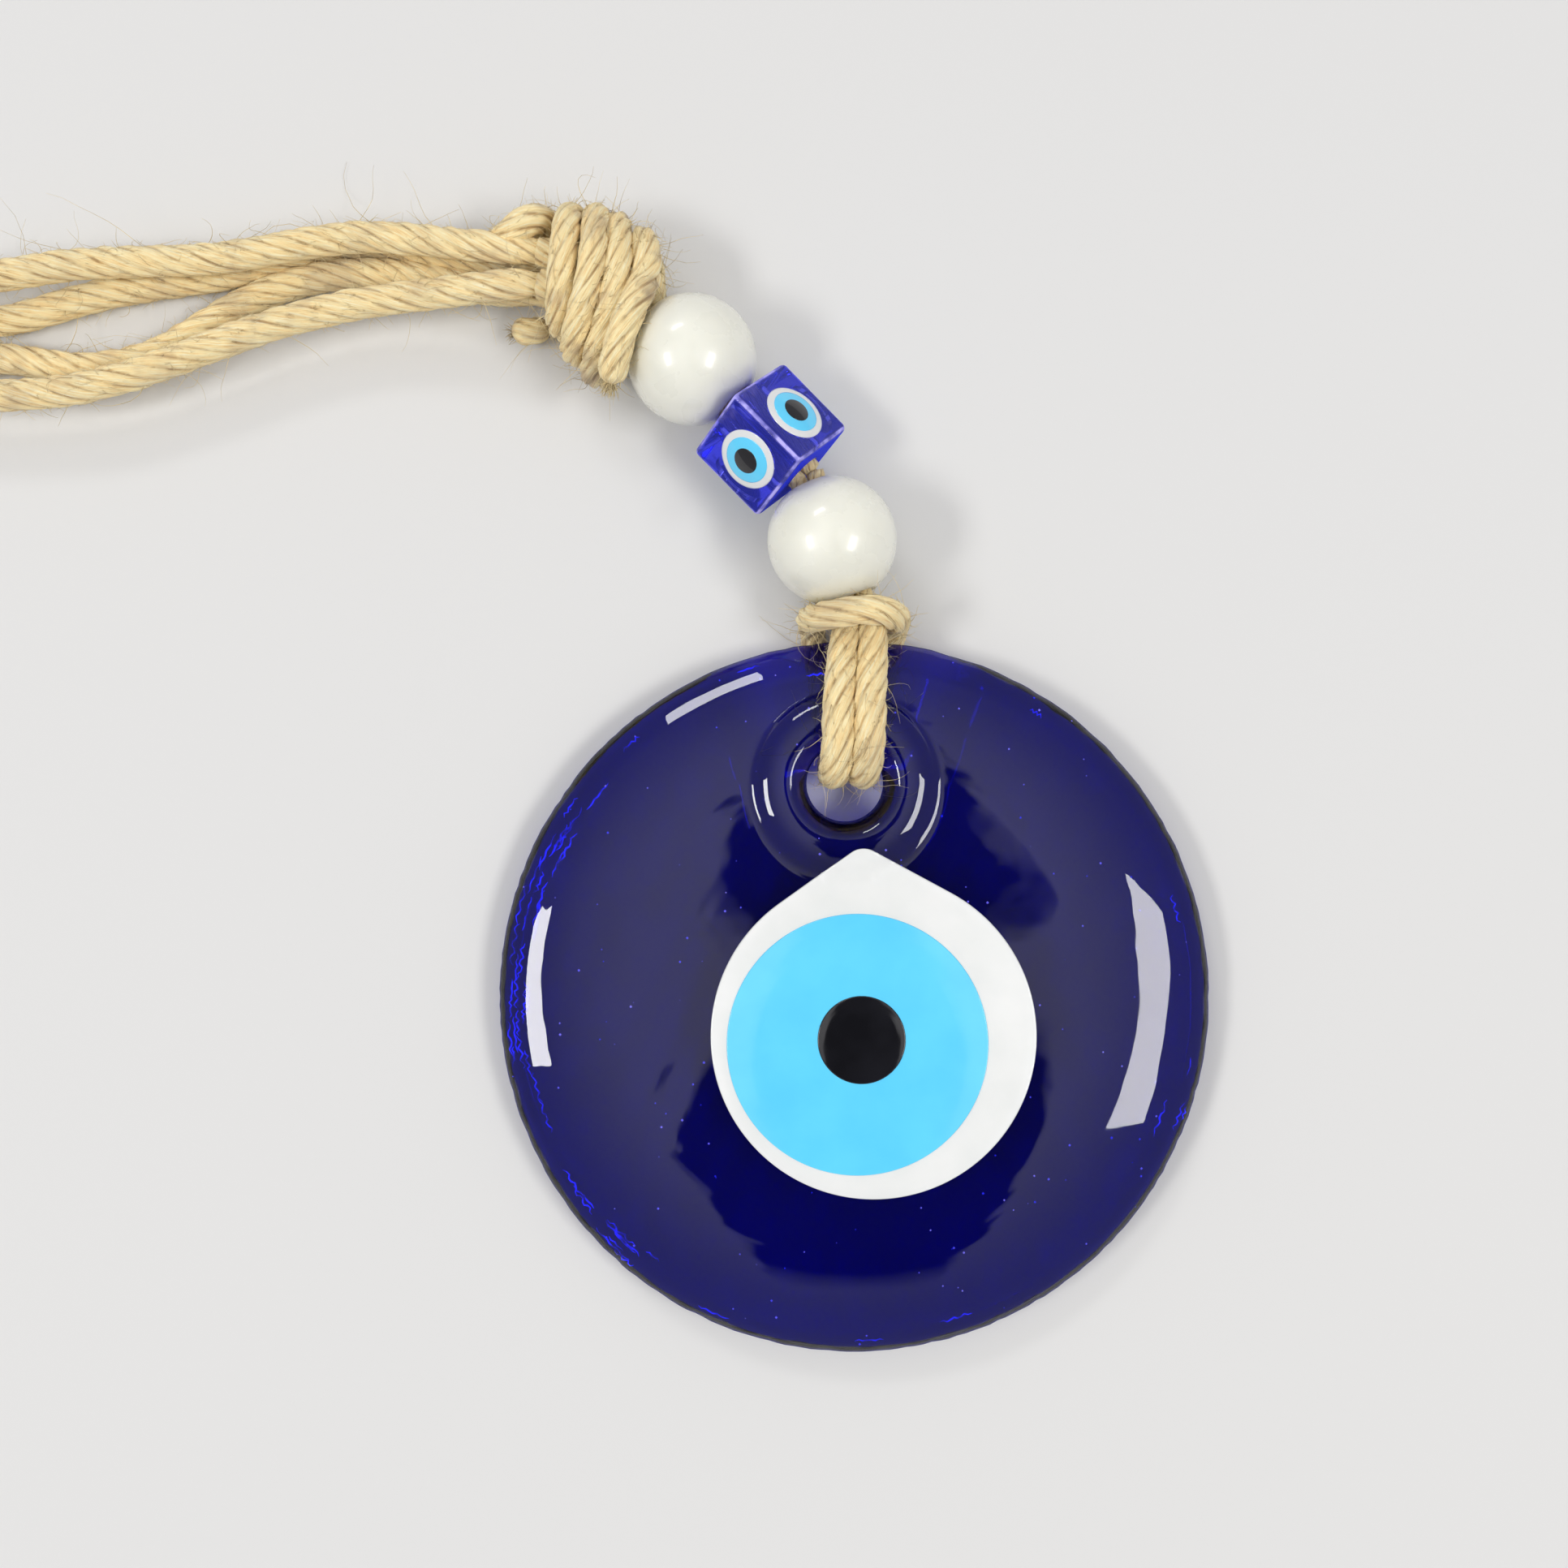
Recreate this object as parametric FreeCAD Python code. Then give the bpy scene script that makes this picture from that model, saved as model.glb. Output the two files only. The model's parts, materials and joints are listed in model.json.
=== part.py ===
import FreeCAD, Part
import math
import os

# Evil eye ornament: a pierced blue glass disc with a fused eye, hung on a folded jute cord
# that carries two round beads and a cube bead below a big knot and two hanging loops.
# Millimetres. The origin is the centre of the disc's flat back face, +Z comes out of its
# front, and +Y points from the disc's centre towards its hole. The ornament lies flat with
# Z = 0 as its resting plane, and its string is swept to the left.

V = FreeCAD.Vector
UP = V(0, 0, 1)
ORIGIN = V(0, 0, 0)

# Glass disc
DISC_R = 45.0
EQUATOR_Z = 3.3
FACE_Z = 7.9
FLAT_FACE_R = 28.0
FLAT_BACK_R = 41.5

# Pierced hole, with the ring of glass pushed up around it
HOLE_C = V(-1.3, 27.1, 0)
HOLE_R = 4.8
HOLE_WAIST_Z = 5.6
RING_CREST_R = 7.4
RING_FOOT_R = 11.4
RING_FOOT_DROP = 0.6
RING_HEIGHT = 1.3
BACK_FLARE = 0.9

# Hollow in the disc's back, from the hole out past the rim, where the cord passes behind
DISH_DEPTH = 3.6
DISH_R = 7.6
DISH_MOUTH_HALF = 16.0
DISH_LENGTH = 25.5

# Eye layers fused to the disc
WHITE_C = V(2.2, -4.3, 0)
WHITE_R = 20.2
TIP_C = V(0.9, 16.4, 0)
TIP_R = 2.6
IRIS_C = V(0.2, -5.3, 0)
IRIS_R = 16.2
PUPIL_C = V(0.7, -4.7, 0)
PUPIL_R = 5.45
LAYER_RAISE = (0.35, 0.5, 0.65)
LAYER_FLOOR_Z = (6.7, 7.3, 7.8)

# Beads
BEAD_R = 8.0
BORE_R = 2.5
CUBE_EDGE = 11.3
CUBE_ROUND = 0.7
CUBE_ROLL = 42.0
DROP_R = (3.8, 2.75, 1.5)
DROP_RISE = (0.45, 0.6, 0.7)
DROP_FLOOR = (-0.4, 0.1, 0.3)
DROP_OFFSET = 0.4

# String line: the bead bores follow two straight stretches that meet at the bare bend
STRING_Z = 8.0
LOWER_ANGLE = 112.0
UPPER_ANGLE = 134.4
KNOT_ANGLE = 147.0
LOWER_BEAD_C = V(-2.95, 57.1, STRING_Z)
BEND_GAP = 0.63
CUBE_GAP = 0.65
BEAD_TO_CUBE_GAP = 0.2

# Cord
STRAND_R = 1.75
TIGHT_R = 1.5
BORE_STRAND_R = 1.15
BALL_R = 2.3
END_CLEARANCE = 0.3
PAIR_GAP = 0.02
NECK_GAP = 0.45
NECK_HALF_SPREAD = 1.2
STEPS_PER_SPAN = 3

# Turns of the big knot, left to right: (x, y) marks at the top, middle and bottom of the front,
# the half depth, and the height of the turn's centre
TURNS = (
    (((-35.2, 97.3), (-36.0, 88.0), (-36.6, 83.8)), 5.25, 7.35),
    (((-32.1, 97.2), (-32.5, 87.5), (-35.0, 80.6)), 5.7, 7.6),
    (((-29.6, 96.3), (-29.3, 87.5), (-32.6, 77.9)), 5.35, 7.35),
)

WRAP_STEPS = 16
SLIDE_SHARE = 0.25

# Fold between the knot and the loops
FOLD_C = V(-42.4, 90.5, 7.35)
LOOP_ROOT_R = 3.7
KNOT_END_R = 4.4

# Larger than the whole ornament, for cutting with half spaces; and heights clear of the disc
REACH = 400.0
BELOW_Z = -1.0
ABOVE_Z = 13.0


def heading(degrees):
    """Unit vector in the XY plane, degrees counter-clockwise from +X."""
    return V(math.cos(math.radians(degrees)), math.sin(math.radians(degrees)), 0)


LOWER_DIR = heading(LOWER_ANGLE)
UPPER_DIR = heading(UPPER_ANGLE)
KNOT_DIR = heading(KNOT_ANGLE)
BEND_C = LOWER_BEAD_C + LOWER_DIR * (BEAD_R + BEND_GAP)
CUBE_C = BEND_C + UPPER_DIR * (CUBE_GAP + CUBE_EDGE / 2)
UPPER_BEAD_C = CUBE_C + UPPER_DIR * (CUBE_EDGE / 2 + BEAD_TO_CUBE_GAP + BEAD_R)


def revolved(edges):
    """Solid of revolution about Z from edges in the XZ plane that close on the axis."""
    wire = Part.Wire(Part.__sortEdges__(edges))
    return Part.Face(wire).revolve(ORIGIN, UP, 360)


def quarter(axis_end, other_end):
    """Quarter of an ellipse in the XZ plane whose centre is level with axis_end and under other_end."""
    centre = V(other_end.x, 0, axis_end.z)
    if abs(axis_end.x - centre.x) >= abs(other_end.z - centre.z):
        ellipse = Part.Ellipse(axis_end, other_end, centre)
    else:
        ellipse = Part.Ellipse(other_end, axis_end, centre)
    return Part.Arc(ellipse, 0, math.pi / 2).toShape()


def prism(edges, low, high):
    """Upright solid on a closed outline drawn at Z = 0."""
    face = Part.Face(Part.Wire(Part.__sortEdges__(edges)))
    face.translate(UP * low)
    return face.extrude(UP * (high - low))


def column(centre, radius, low, high):
    """Upright cylinder."""
    return Part.makeCylinder(radius, high - low, V(centre.x, centre.y, low), UP)


def disc_front(lift):
    """Disc and its ring of glass without the hole, raised by lift."""
    rim = V(DISC_R, 0, EQUATOR_Z)
    disc = revolved([
        Part.makeLine(ORIGIN, V(FLAT_BACK_R, 0, 0)),
        quarter(rim, V(FLAT_BACK_R, 0, 0)),
        quarter(rim, V(FLAT_FACE_R, 0, FACE_Z)),
        Part.makeLine(V(FLAT_FACE_R, 0, FACE_Z), V(0, 0, FACE_Z)),
        Part.makeLine(V(0, 0, FACE_Z), ORIGIN),
    ])
    foot = V(RING_FOOT_R, 0, FACE_Z - RING_FOOT_DROP)
    crest = V(RING_CREST_R, 0, FACE_Z + RING_HEIGHT)
    ring = revolved([
        quarter(foot, crest),
        Part.makeLine(crest, V(0, 0, crest.z)),
        Part.makeLine(V(0, 0, crest.z), V(0, 0, EQUATOR_Z)),
        Part.makeLine(V(0, 0, EQUATOR_Z), V(foot.x, 0, EQUATOR_Z)),
        Part.makeLine(V(foot.x, 0, EQUATOR_Z), foot),
    ])
    ring.translate(HOLE_C)
    front = disc.fuse(ring).removeSplitter()
    front.translate(UP * lift)
    return front


def hole_space():
    """Space of the hole: narrowest at its waist, flared to the ring's crest and to the back."""
    crest = V(RING_CREST_R, 0, FACE_Z + RING_HEIGHT)
    waist = V(HOLE_R, 0, HOLE_WAIST_Z)
    lip = V(HOLE_R + BACK_FLARE, 0, DISH_DEPTH)
    top = V(crest.x, 0, ABOVE_Z)
    foot = V(lip.x, 0, BELOW_Z)
    space = revolved([
        Part.makeLine(V(0, 0, top.z), top),
        Part.makeLine(top, crest),
        quarter(waist, crest),
        Part.makeLine(waist, lip),
        Part.makeLine(lip, foot),
        Part.makeLine(foot, V(0, 0, foot.z)),
        Part.makeLine(V(0, 0, foot.z), V(0, 0, top.z)),
    ])
    space.translate(HOLE_C)
    return space


def dish_space():
    """Hollow behind the hole: a half circle that widens into a fan out past the rim."""
    left = HOLE_C + V(-DISH_R, 0, 0)
    right = HOLE_C + V(DISH_R, 0, 0)
    mouth_left = HOLE_C + V(-DISH_MOUTH_HALF, DISH_LENGTH, 0)
    mouth_right = HOLE_C + V(DISH_MOUTH_HALF, DISH_LENGTH, 0)
    outline = [
        Part.Arc(left, HOLE_C + V(0, -DISH_R, 0), right).toShape(),
        Part.makeLine(right, mouth_right),
        Part.makeLine(mouth_right, mouth_left),
        Part.makeLine(mouth_left, left),
    ]
    return prism(outline, BELOW_Z, DISH_DEPTH)


def teardrop():
    """Outline of the white: a big circle and a small tip circle with their outer tangents."""
    span = TIP_C - WHITE_C
    lean = math.degrees(math.atan2(span.y, span.x))
    spread = math.degrees(math.acos((WHITE_R - TIP_R) / span.Length))
    left = heading(lean + spread)
    right = heading(lean - spread)
    middle = heading(lean)
    white_left = WHITE_C + left * WHITE_R
    white_right = WHITE_C + right * WHITE_R
    tip_left = TIP_C + left * TIP_R
    tip_right = TIP_C + right * TIP_R
    return [
        Part.Arc(white_left, WHITE_C - middle * WHITE_R, white_right).toShape(),
        Part.makeLine(white_left, tip_left),
        Part.Arc(tip_left, TIP_C + middle * TIP_R, tip_right).toShape(),
        Part.makeLine(tip_right, white_right),
    ]


def glass_disc():
    white_pocket = prism(teardrop(), LAYER_FLOOR_Z[0], ABOVE_Z)
    return disc_front(0).cut(hole_space()).cut(dish_space()).cut(white_pocket)


def eye_white():
    layer = prism(teardrop(), LAYER_FLOOR_Z[0], ABOVE_Z).common(disc_front(LAYER_RAISE[0]))
    return layer.cut(column(IRIS_C, IRIS_R, LAYER_FLOOR_Z[1], ABOVE_Z))


def eye_iris():
    layer = column(IRIS_C, IRIS_R, LAYER_FLOOR_Z[1], FACE_Z + LAYER_RAISE[1])
    return layer.cut(column(PUPIL_C, PUPIL_R, LAYER_FLOOR_Z[2], ABOVE_Z))


def eye_pupil():
    return column(PUPIL_C, PUPIL_R, LAYER_FLOOR_Z[2], FACE_Z + LAYER_RAISE[2])


def bore(centre, direction):
    """Space of a bead's bore along its string."""
    length = 4 * BEAD_R
    return Part.makeCylinder(BORE_R, length, centre - direction * (length / 2), direction)


def white_bead(centre, direction):
    ball = Part.makeSphere(BEAD_R)
    ball.translate(centre)
    return ball.cut(bore(centre, direction))


def place_on_cube(shape, quarter_turn):
    """Moves a shape drawn on the +Z side of a bead at the origin with its bore along X."""
    shape.rotate(ORIGIN, V(1, 0, 0), CUBE_ROLL + quarter_turn * 90)
    shape.rotate(ORIGIN, UP, UPPER_ANGLE)
    shape.translate(CUBE_C)
    return shape


def cube_blank():
    cube = Part.makeBox(CUBE_EDGE, CUBE_EDGE, CUBE_EDGE)
    cube.translate(V(1, 1, 1) * (-CUBE_EDGE / 2))
    return cube.makeFillet(CUBE_ROUND, cube.Edges)


def seat(layer):
    """Space a drop takes out of the glass below it, on the bead's +Z face."""
    height = CUBE_EDGE / 2 + DROP_FLOOR[layer]
    return Part.makeCylinder(DROP_R[layer], CUBE_EDGE, V(-DROP_OFFSET, 0, height), UP)


def cube_bead():
    cube = cube_blank().cut(Part.makeCylinder(BORE_R, 2 * CUBE_EDGE, V(-CUBE_EDGE, 0, 0), V(1, 0, 0)))
    for turn in range(4):
        pocket = seat(0)
        pocket.rotate(ORIGIN, V(1, 0, 0), 90 * turn)
        cube = cube.cut(pocket)
    return place_on_cube(cube, 0)


def cube_drop(layer, turn):
    """Domed glass drop of one of the four eyes."""
    radius = DROP_R[layer]
    rise = DROP_RISE[layer]
    dome_r = (radius * radius + rise * rise) / (2 * rise)
    dome = Part.makeSphere(dome_r)
    dome.translate(V(-DROP_OFFSET, 0, CUBE_EDGE / 2 + rise - dome_r))
    drop = seat(layer).common(dome)
    if layer + 1 < len(DROP_R):
        drop = drop.cut(seat(layer + 1))
    return place_on_cube(drop, turn)


def facing(centre, along, side):
    """Placement at centre with its Z along the path and its X along side."""
    return FreeCAD.Placement(centre, FreeCAD.Rotation(side, along.cross(side), along, "ZXY"))


def strand(stations):
    """Round strand through stations (x, y, z, radius), made of short tapers between circles square to
    its path."""
    points = [V(*s[:3]) for s in stations]
    curve = Part.BSplineCurve()
    curve.interpolate(points)
    knots = [curve.parameter(p) for p in points]
    side = None
    circles = []
    for i in range(STEPS_PER_SPAN * (len(points) - 1) + 1):
        low = min(i // STEPS_PER_SPAN, len(points) - 2)
        part = i / STEPS_PER_SPAN - low
        at = knots[low] * (1 - part) + knots[low + 1] * part
        radius = stations[low][3] * (1 - part) + stations[low + 1][3] * part
        along = curve.tangent(at)[0]
        if side is None:
            side = along.cross(UP)
        side = (side - along * side.dot(along)).normalize()
        circle = Part.Wire(Part.Circle(ORIGIN, UP, radius).toShape())
        circle.Placement = facing(curve.value(at), along, side)
        circles.append(circle)
    return Part.makeLoft(circles, True, True)


def straight_pair(start, end, side):
    """Two parallel strands, one on each side of a centre line."""
    along = end - start
    offset = BORE_STRAND_R + PAIR_GAP / 2
    pair = []
    for sign in (-1, 1):
        base = start + side * (sign * offset)
        pair.append(Part.makeCylinder(BORE_STRAND_R, along.Length, base, along))
    return pair


def hitch_cord():
    """Lark's head: up the front from the hole on both sides, with the bight across the front and both
    legs passed behind the rim, back to the hole."""
    start = LOWER_BEAD_C - LOWER_DIR * (BEAD_R + NECK_GAP)
    across = heading(LOWER_ANGLE - 90) * NECK_HALF_SPREAD
    right = [
        (*(start + across), BORE_STRAND_R),
        (2.00, 48.1, 8.0, 1.4),
        (2.05, 45.6, 8.2, 1.65),
        (1.95, 41.5, 9.2, 1.8),
        (1.60, 38.2, 10.8, 1.85),
        (1.50, 35.6, 11.4, 1.85),
        (1.45, 32.9, 11.6, 1.85),
        (1.25, 30.2, 10.4, 1.85),
        (1.05, 28.5, 8.2, 1.8),
        (0.95, 28.1, 5.6, 1.75),
        (1.00, 29.2, 3.1, 1.65),
        (1.60, 31.8, 1.7, 1.5),
        (3.20, 38.0, 1.65, 1.5),
        (4.60, 43.8, 1.6, 1.45),
        (5.20, 46.8, 2.7, 1.5),
        (5.30, 47.4, 5.4, 1.55),
        (5.15, 47.5, 8.2, 1.55),
        (3.70, 47.9, 10.9, 1.6),
    ]
    top = [(-0.3, 48.0, 12.4, 1.65)]
    left = [
        (-4.50, 47.3, 10.9, 1.6),
        (-5.50, 47.5, 8.2, 1.55),
        (-5.60, 47.4, 5.4, 1.55),
        (-5.40, 46.8, 2.7, 1.5),
        (-4.90, 43.8, 1.6, 1.45),
        (-3.90, 38.0, 1.65, 1.5),
        (-2.90, 31.8, 1.7, 1.5),
        (-2.75, 29.2, 3.1, 1.65),
        (-2.75, 28.1, 5.6, 1.75),
        (-2.65, 28.5, 8.2, 1.8),
        (-2.45, 30.2, 10.4, 1.85),
        (-2.25, 32.9, 11.6, 1.85),
        (-2.20, 35.6, 11.4, 1.85),
        (-2.10, 38.2, 10.8, 1.85),
        (-1.75, 41.5, 9.2, 1.8),
        (-1.45, 45.0, 8.3, 1.65),
        (-0.95, 47.3, 8.0, 1.4),
        (*(start - across), BORE_STRAND_R),
    ]
    return strand(right + top + left)


def cord_in_lower_bead():
    low = LOWER_BEAD_C - LOWER_DIR * (BEAD_R - END_CLEARANCE)
    high = BEND_C - LOWER_DIR * (BALL_R + END_CLEARANCE)
    return Part.Compound(straight_pair(low, high, heading(LOWER_ANGLE - 90)))


def cord_bend():
    ball = Part.makeSphere(BALL_R)
    ball.translate(BEND_C)
    return ball


def cord_in_cube():
    low = BEND_C + UPPER_DIR * (BALL_R + END_CLEARANCE)
    high = CUBE_C + UPPER_DIR * (CUBE_EDGE / 2)
    return Part.Compound(straight_pair(low, high, heading(UPPER_ANGLE - 90)))


def cord_in_upper_bead():
    reach = UPPER_DIR * (BEAD_R - END_CLEARANCE)
    side = heading(UPPER_ANGLE - 90)
    return Part.Compound(straight_pair(UPPER_BEAD_C - reach, UPPER_BEAD_C + reach, side))


def through(marks, y):
    """X at height y on the parabola through three (x, y) marks."""
    total = 0
    for i, (x, mark_y) in enumerate(marks):
        first, second = [m[1] for j, m in enumerate(marks) if j != i]
        total += x * (y - first) * (y - second) / ((mark_y - first) * (mark_y - second))
    return total


def wrap_point(turn, angle):
    """Point on a turn of the wraps; the angle is 0 at the front and rises over the top of the knot."""
    marks, depth, centre_z = turn
    top_y = marks[0][1]
    bottom_y = marks[2][1]
    y = (top_y + bottom_y) / 2 + (top_y - bottom_y) / 2 * math.sin(angle)
    return V(through(marks, y), y, centre_z + depth * math.cos(angle))


def wrap_path():
    """Three turns about the core, each sliding over to the next where it crosses the back."""
    points = []
    for i in range(len(TURNS) * WRAP_STEPS + 1):
        count = min(i // WRAP_STEPS, len(TURNS) - 1)
        part = i / WRAP_STEPS - count
        angle = math.pi - 2 * math.pi * part
        here = wrap_point(TURNS[count], angle)
        if part > 1 - SLIDE_SHARE and count + 1 < len(TURNS):
            share = (part - 1 + SLIDE_SHARE) / (2 * SLIDE_SHARE)
            here = here * (1 - share) + wrap_point(TURNS[count + 1], angle) * share
        if part < SLIDE_SHARE and count > 0:
            share = (SLIDE_SHARE - part) / (2 * SLIDE_SHARE)
            here = here * (1 - share) + wrap_point(TURNS[count - 1], angle) * share
        points.append((here.x, here.y, here.z, TIGHT_R))
    return points


def knot_wraps():
    """Front band of the knot: three turns, the strand that ends at the lower tip, and the shoulder."""
    tip = [
        (-26.3, 87.0, 4.2), (-25.7, 91.0, 4.6), (-26.6, 94.4, 7.3), (-25.9, 92.8, 10.2),
        (-25.6, 88.8, 11.8), (-26.8, 85.0, 13.9), (-28.4, 81.0, 14.0), (-29.6, 77.0, 12.6),
    ]
    shoulder = [(-38.4, 96.4, 3.9), (-38.8, 97.2, 5.6), (-38.9, 97.3, 7.6), (-39.0, 96.7, 9.6)]
    strands = [strand([(*p, TIGHT_R) for p in path]) for path in (tip, shoulder)]
    return Part.Compound([strand(wrap_path())] + strands)


def knot_core():
    """Bundle inside the wraps, from the upper bead's mouth to the fold at the loops."""
    mouth = UPPER_BEAD_C + KNOT_DIR * (BEAD_R + 2 * END_CLEARANCE)
    stations = [
        (mouth, 2.3, 1.2),
        (V(-28.9, 85.9, 7.7), 3.0, 1.9),
        (V(-31.8, 88.6, 7.5), 4.0, 2.8),
        (V(-35.9, 90.9, FOLD_C.z), 4.4, 3.0),
        (V(-38.6, FOLD_C.y, FOLD_C.z), 4.0, 3.2),
    ]
    sections = []
    for i, (centre, half_width, half_height) in enumerate(stations):
        before = stations[max(i - 1, 0)][0]
        after = stations[min(i + 1, len(stations) - 1)][0]
        along = (after - before).normalize()
        side = UP.cross(along).normalize()
        oval = Part.Ellipse(ORIGIN, half_width, half_height).toShape()
        oval.Placement = facing(centre, along, side)
        sections.append(Part.Wire(oval))
    return Part.makeLoft(sections, True, False).cut(fold_cylinder(KNOT_END_R))


def knot_tail():
    """Cut end of the cord that pokes out under the loops."""
    return strand([
        (-38.3, 84.9, 3.2, 1.3),
        (-40.2, 84.6, 3.0, 1.5),
        (-42.0, 84.5, 2.7, 1.6),
        (-43.8, 84.3, 2.4, 1.6),
    ])


def fold_cylinder(radius):
    """Cylinder about the fold's axis, which lies along Y."""
    return Part.makeCylinder(radius, REACH, FOLD_C - V(0, REACH / 2, 0), V(0, 1, 0))


def loop(marks):
    """Loop of cord that starts and ends at the fold, with its ends rounded about the fold's axis."""
    raw = strand([(*m, STRAND_R) for m in marks])
    beyond = Part.makeBox(REACH, REACH, REACH, V(FOLD_C.x - REACH, FOLD_C.y - REACH / 2, -REACH / 2))
    return raw.common(beyond.fuse(fold_cylinder(LOOP_ROOT_R)))


def loop_outer():
    return loop([
        (-37.0, 92.6, 9.3), (-41.8, 92.9, 9.1), (-50.0, 94.1, 7.4), (-63.4, 95.4, 5.8), (-78.7, 92.9, 5.8),
        (-97.0, 92.1, 5.8), (-110.0, 90.0, 5.8), (-122.0, 87.6, 5.8), (-129.0, 84.0, 5.8), (-129.4, 79.6, 5.8),
        (-122.0, 76.2, 5.8), (-107.2, 75.6, 5.8), (-97.0, 76.5, 5.8), (-78.7, 82.5, 5.8), (-63.4, 86.9, 5.8),
        (-50.0, 88.2, 7.4), (-41.8, 88.6, 9.1), (-37.0, 88.6, 9.3),
    ])


def loop_inner():
    return loop([
        (-37.0, 92.4, 5.4), (-41.8, 92.5, 5.2), (-50.0, 93.8, 3.4), (-63.5, 96.1, 1.85), (-79.5, 92.2, 1.85),
        (-94.2, 89.9, 1.85), (-102.0, 87.8, 1.85), (-108.5, 86.1, 1.85), (-116.0, 85.7, 1.85),
        (-121.8, 83.7, 1.85), (-116.5, 81.4, 1.85), (-108.5, 81.3, 1.85), (-102.0, 80.4, 1.85),
        (-95.5, 80.2, 1.85), (-88.0, 82.4, 1.85), (-79.5, 87.5, 1.85), (-63.5, 92.3, 1.85),
        (-50.0, 90.2, 3.4), (-41.8, 88.8, 5.2), (-37.0, 88.7, 5.4),
    ])


def nodes():
    """Every sub-part by name."""
    shapes = {
        "glass_disc": glass_disc(),
        "eye_white": eye_white(),
        "eye_iris": eye_iris(),
        "eye_pupil": eye_pupil(),
        "hitch_cord": hitch_cord(),
        "cord_in_lower_bead": cord_in_lower_bead(),
        "white_bead_lower": white_bead(LOWER_BEAD_C, LOWER_DIR),
        "cord_bend": cord_bend(),
        "cord_in_cube": cord_in_cube(),
        "cube_bead": cube_bead(),
        "cord_in_upper_bead": cord_in_upper_bead(),
        "white_bead_upper": white_bead(UPPER_BEAD_C, UPPER_DIR),
        "knot_wraps": knot_wraps(),
        "knot_core": knot_core(),
        "knot_tail": knot_tail(),
        "loop_outer": loop_outer(),
        "loop_inner": loop_inner(),
    }
    for turn, letter in enumerate("abcd"):
        for layer, name in enumerate(("white", "iris", "pupil")):
            shapes[f"cube_eye_{letter}_{name}"] = cube_drop(layer, turn)
    return shapes


os.makedirs("parts", exist_ok=True)
for node, shape in nodes().items():
    shape.exportStep(f"parts/{node}.step")
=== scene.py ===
import heapq
import json
import math

import bmesh
import bpy
import numpy as np
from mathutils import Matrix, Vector


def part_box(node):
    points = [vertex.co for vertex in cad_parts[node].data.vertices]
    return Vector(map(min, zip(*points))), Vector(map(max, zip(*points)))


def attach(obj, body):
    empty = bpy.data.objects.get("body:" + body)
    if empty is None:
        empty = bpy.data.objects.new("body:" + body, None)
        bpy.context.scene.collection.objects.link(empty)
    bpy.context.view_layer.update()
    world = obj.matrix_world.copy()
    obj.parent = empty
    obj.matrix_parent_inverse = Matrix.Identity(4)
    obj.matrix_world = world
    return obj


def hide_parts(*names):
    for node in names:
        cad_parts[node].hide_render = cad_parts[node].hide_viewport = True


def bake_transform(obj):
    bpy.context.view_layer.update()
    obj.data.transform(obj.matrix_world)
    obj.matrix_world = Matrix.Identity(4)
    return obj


# Looks of the evil eye ornament: pressed blue glass, fused eye, beads and laid jute cord.
# Lengths below are millimetres in the CAD frame; meshes are scaled to metres as they are made.

MM = 0.001
SEED = 11
rng = np.random.default_rng(SEED)

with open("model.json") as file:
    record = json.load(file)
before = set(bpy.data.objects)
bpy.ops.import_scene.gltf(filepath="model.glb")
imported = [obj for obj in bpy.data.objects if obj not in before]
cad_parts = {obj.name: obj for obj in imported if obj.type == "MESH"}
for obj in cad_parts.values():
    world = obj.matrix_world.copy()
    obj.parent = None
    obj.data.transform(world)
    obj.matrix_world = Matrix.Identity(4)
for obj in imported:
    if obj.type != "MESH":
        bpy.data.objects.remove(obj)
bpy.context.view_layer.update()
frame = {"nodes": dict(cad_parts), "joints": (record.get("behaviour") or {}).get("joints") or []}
JOINTS = {joint["name"]: joint for joint in frame["joints"]}


def joint_place(name):
    return np.array(JOINTS[name]["pos_m"]) / MM


def joint_axis(name):
    return unit(np.array(JOINTS[name]["axis"], float))


def box(node):
    low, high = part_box(node)
    return np.array(low) / MM, np.array(high) / MM


def unit(vector):
    return vector / np.linalg.norm(vector, axis=-1, keepdims=True)


# Places from the frame
DISC_LOW, DISC_HIGH = box("glass_disc")
DISC_R = (DISC_HIGH[0] - DISC_LOW[0]) / 2
HOLE_C = joint_place("hitch_swing")
LOWER_BEAD_C = joint_place("neck_fold")
LOWER_DIR = joint_axis("lower_bead_spin")
BEND_C = joint_place("side_bend")
UPPER_DIR = joint_axis("upper_bead_spin")
UPPER_BEAD_C = joint_place("knot_swing")
FOLD_C = joint_place("loops_fold")
UP = np.array((0.0, 0.0, 1.0))
ALONG_X = np.array((1.0, 0, 0))
BEAD_R = (box("white_bead_lower")[1][0] - box("white_bead_lower")[0][0]) / 2

# Glass disc: heights and radii of its section
EQUATOR_Z = 3.3
RING_HEIGHT = 1.3
FACE_Z = DISC_HIGH[2] - RING_HEIGHT
FLAT_FACE_R = 28.0
FLAT_BACK_R = 41.5
HOLE_R = 4.8
HOLE_WAIST_Z = 5.6
RING_CREST_R = 7.4
RING_FOOT_R = 11.4
RING_FOOT_Z = FACE_Z - 0.6
BACK_LIP_R = 5.7
DISH_DEPTH = 3.6
DISH_R = 7.6
DISH_MOUTH_HALF = 16.0
DISH_LENGTH = 25.5
DISH_WALL = 8.0
DISH_WALL_START = 0.78
CREASE_R = 41.3
CREASE_HEIGHT = 0.035
CREASE_WIDTH = 0.45
RING_BLEND = 0.9
RING_FALL = 3
FACE_EDGE_R = 39.5
BACK_LIP_Z = DISH_DEPTH + 0.15
BACK_ROUGHNESS = 0.10
AROUND = 256

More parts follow.
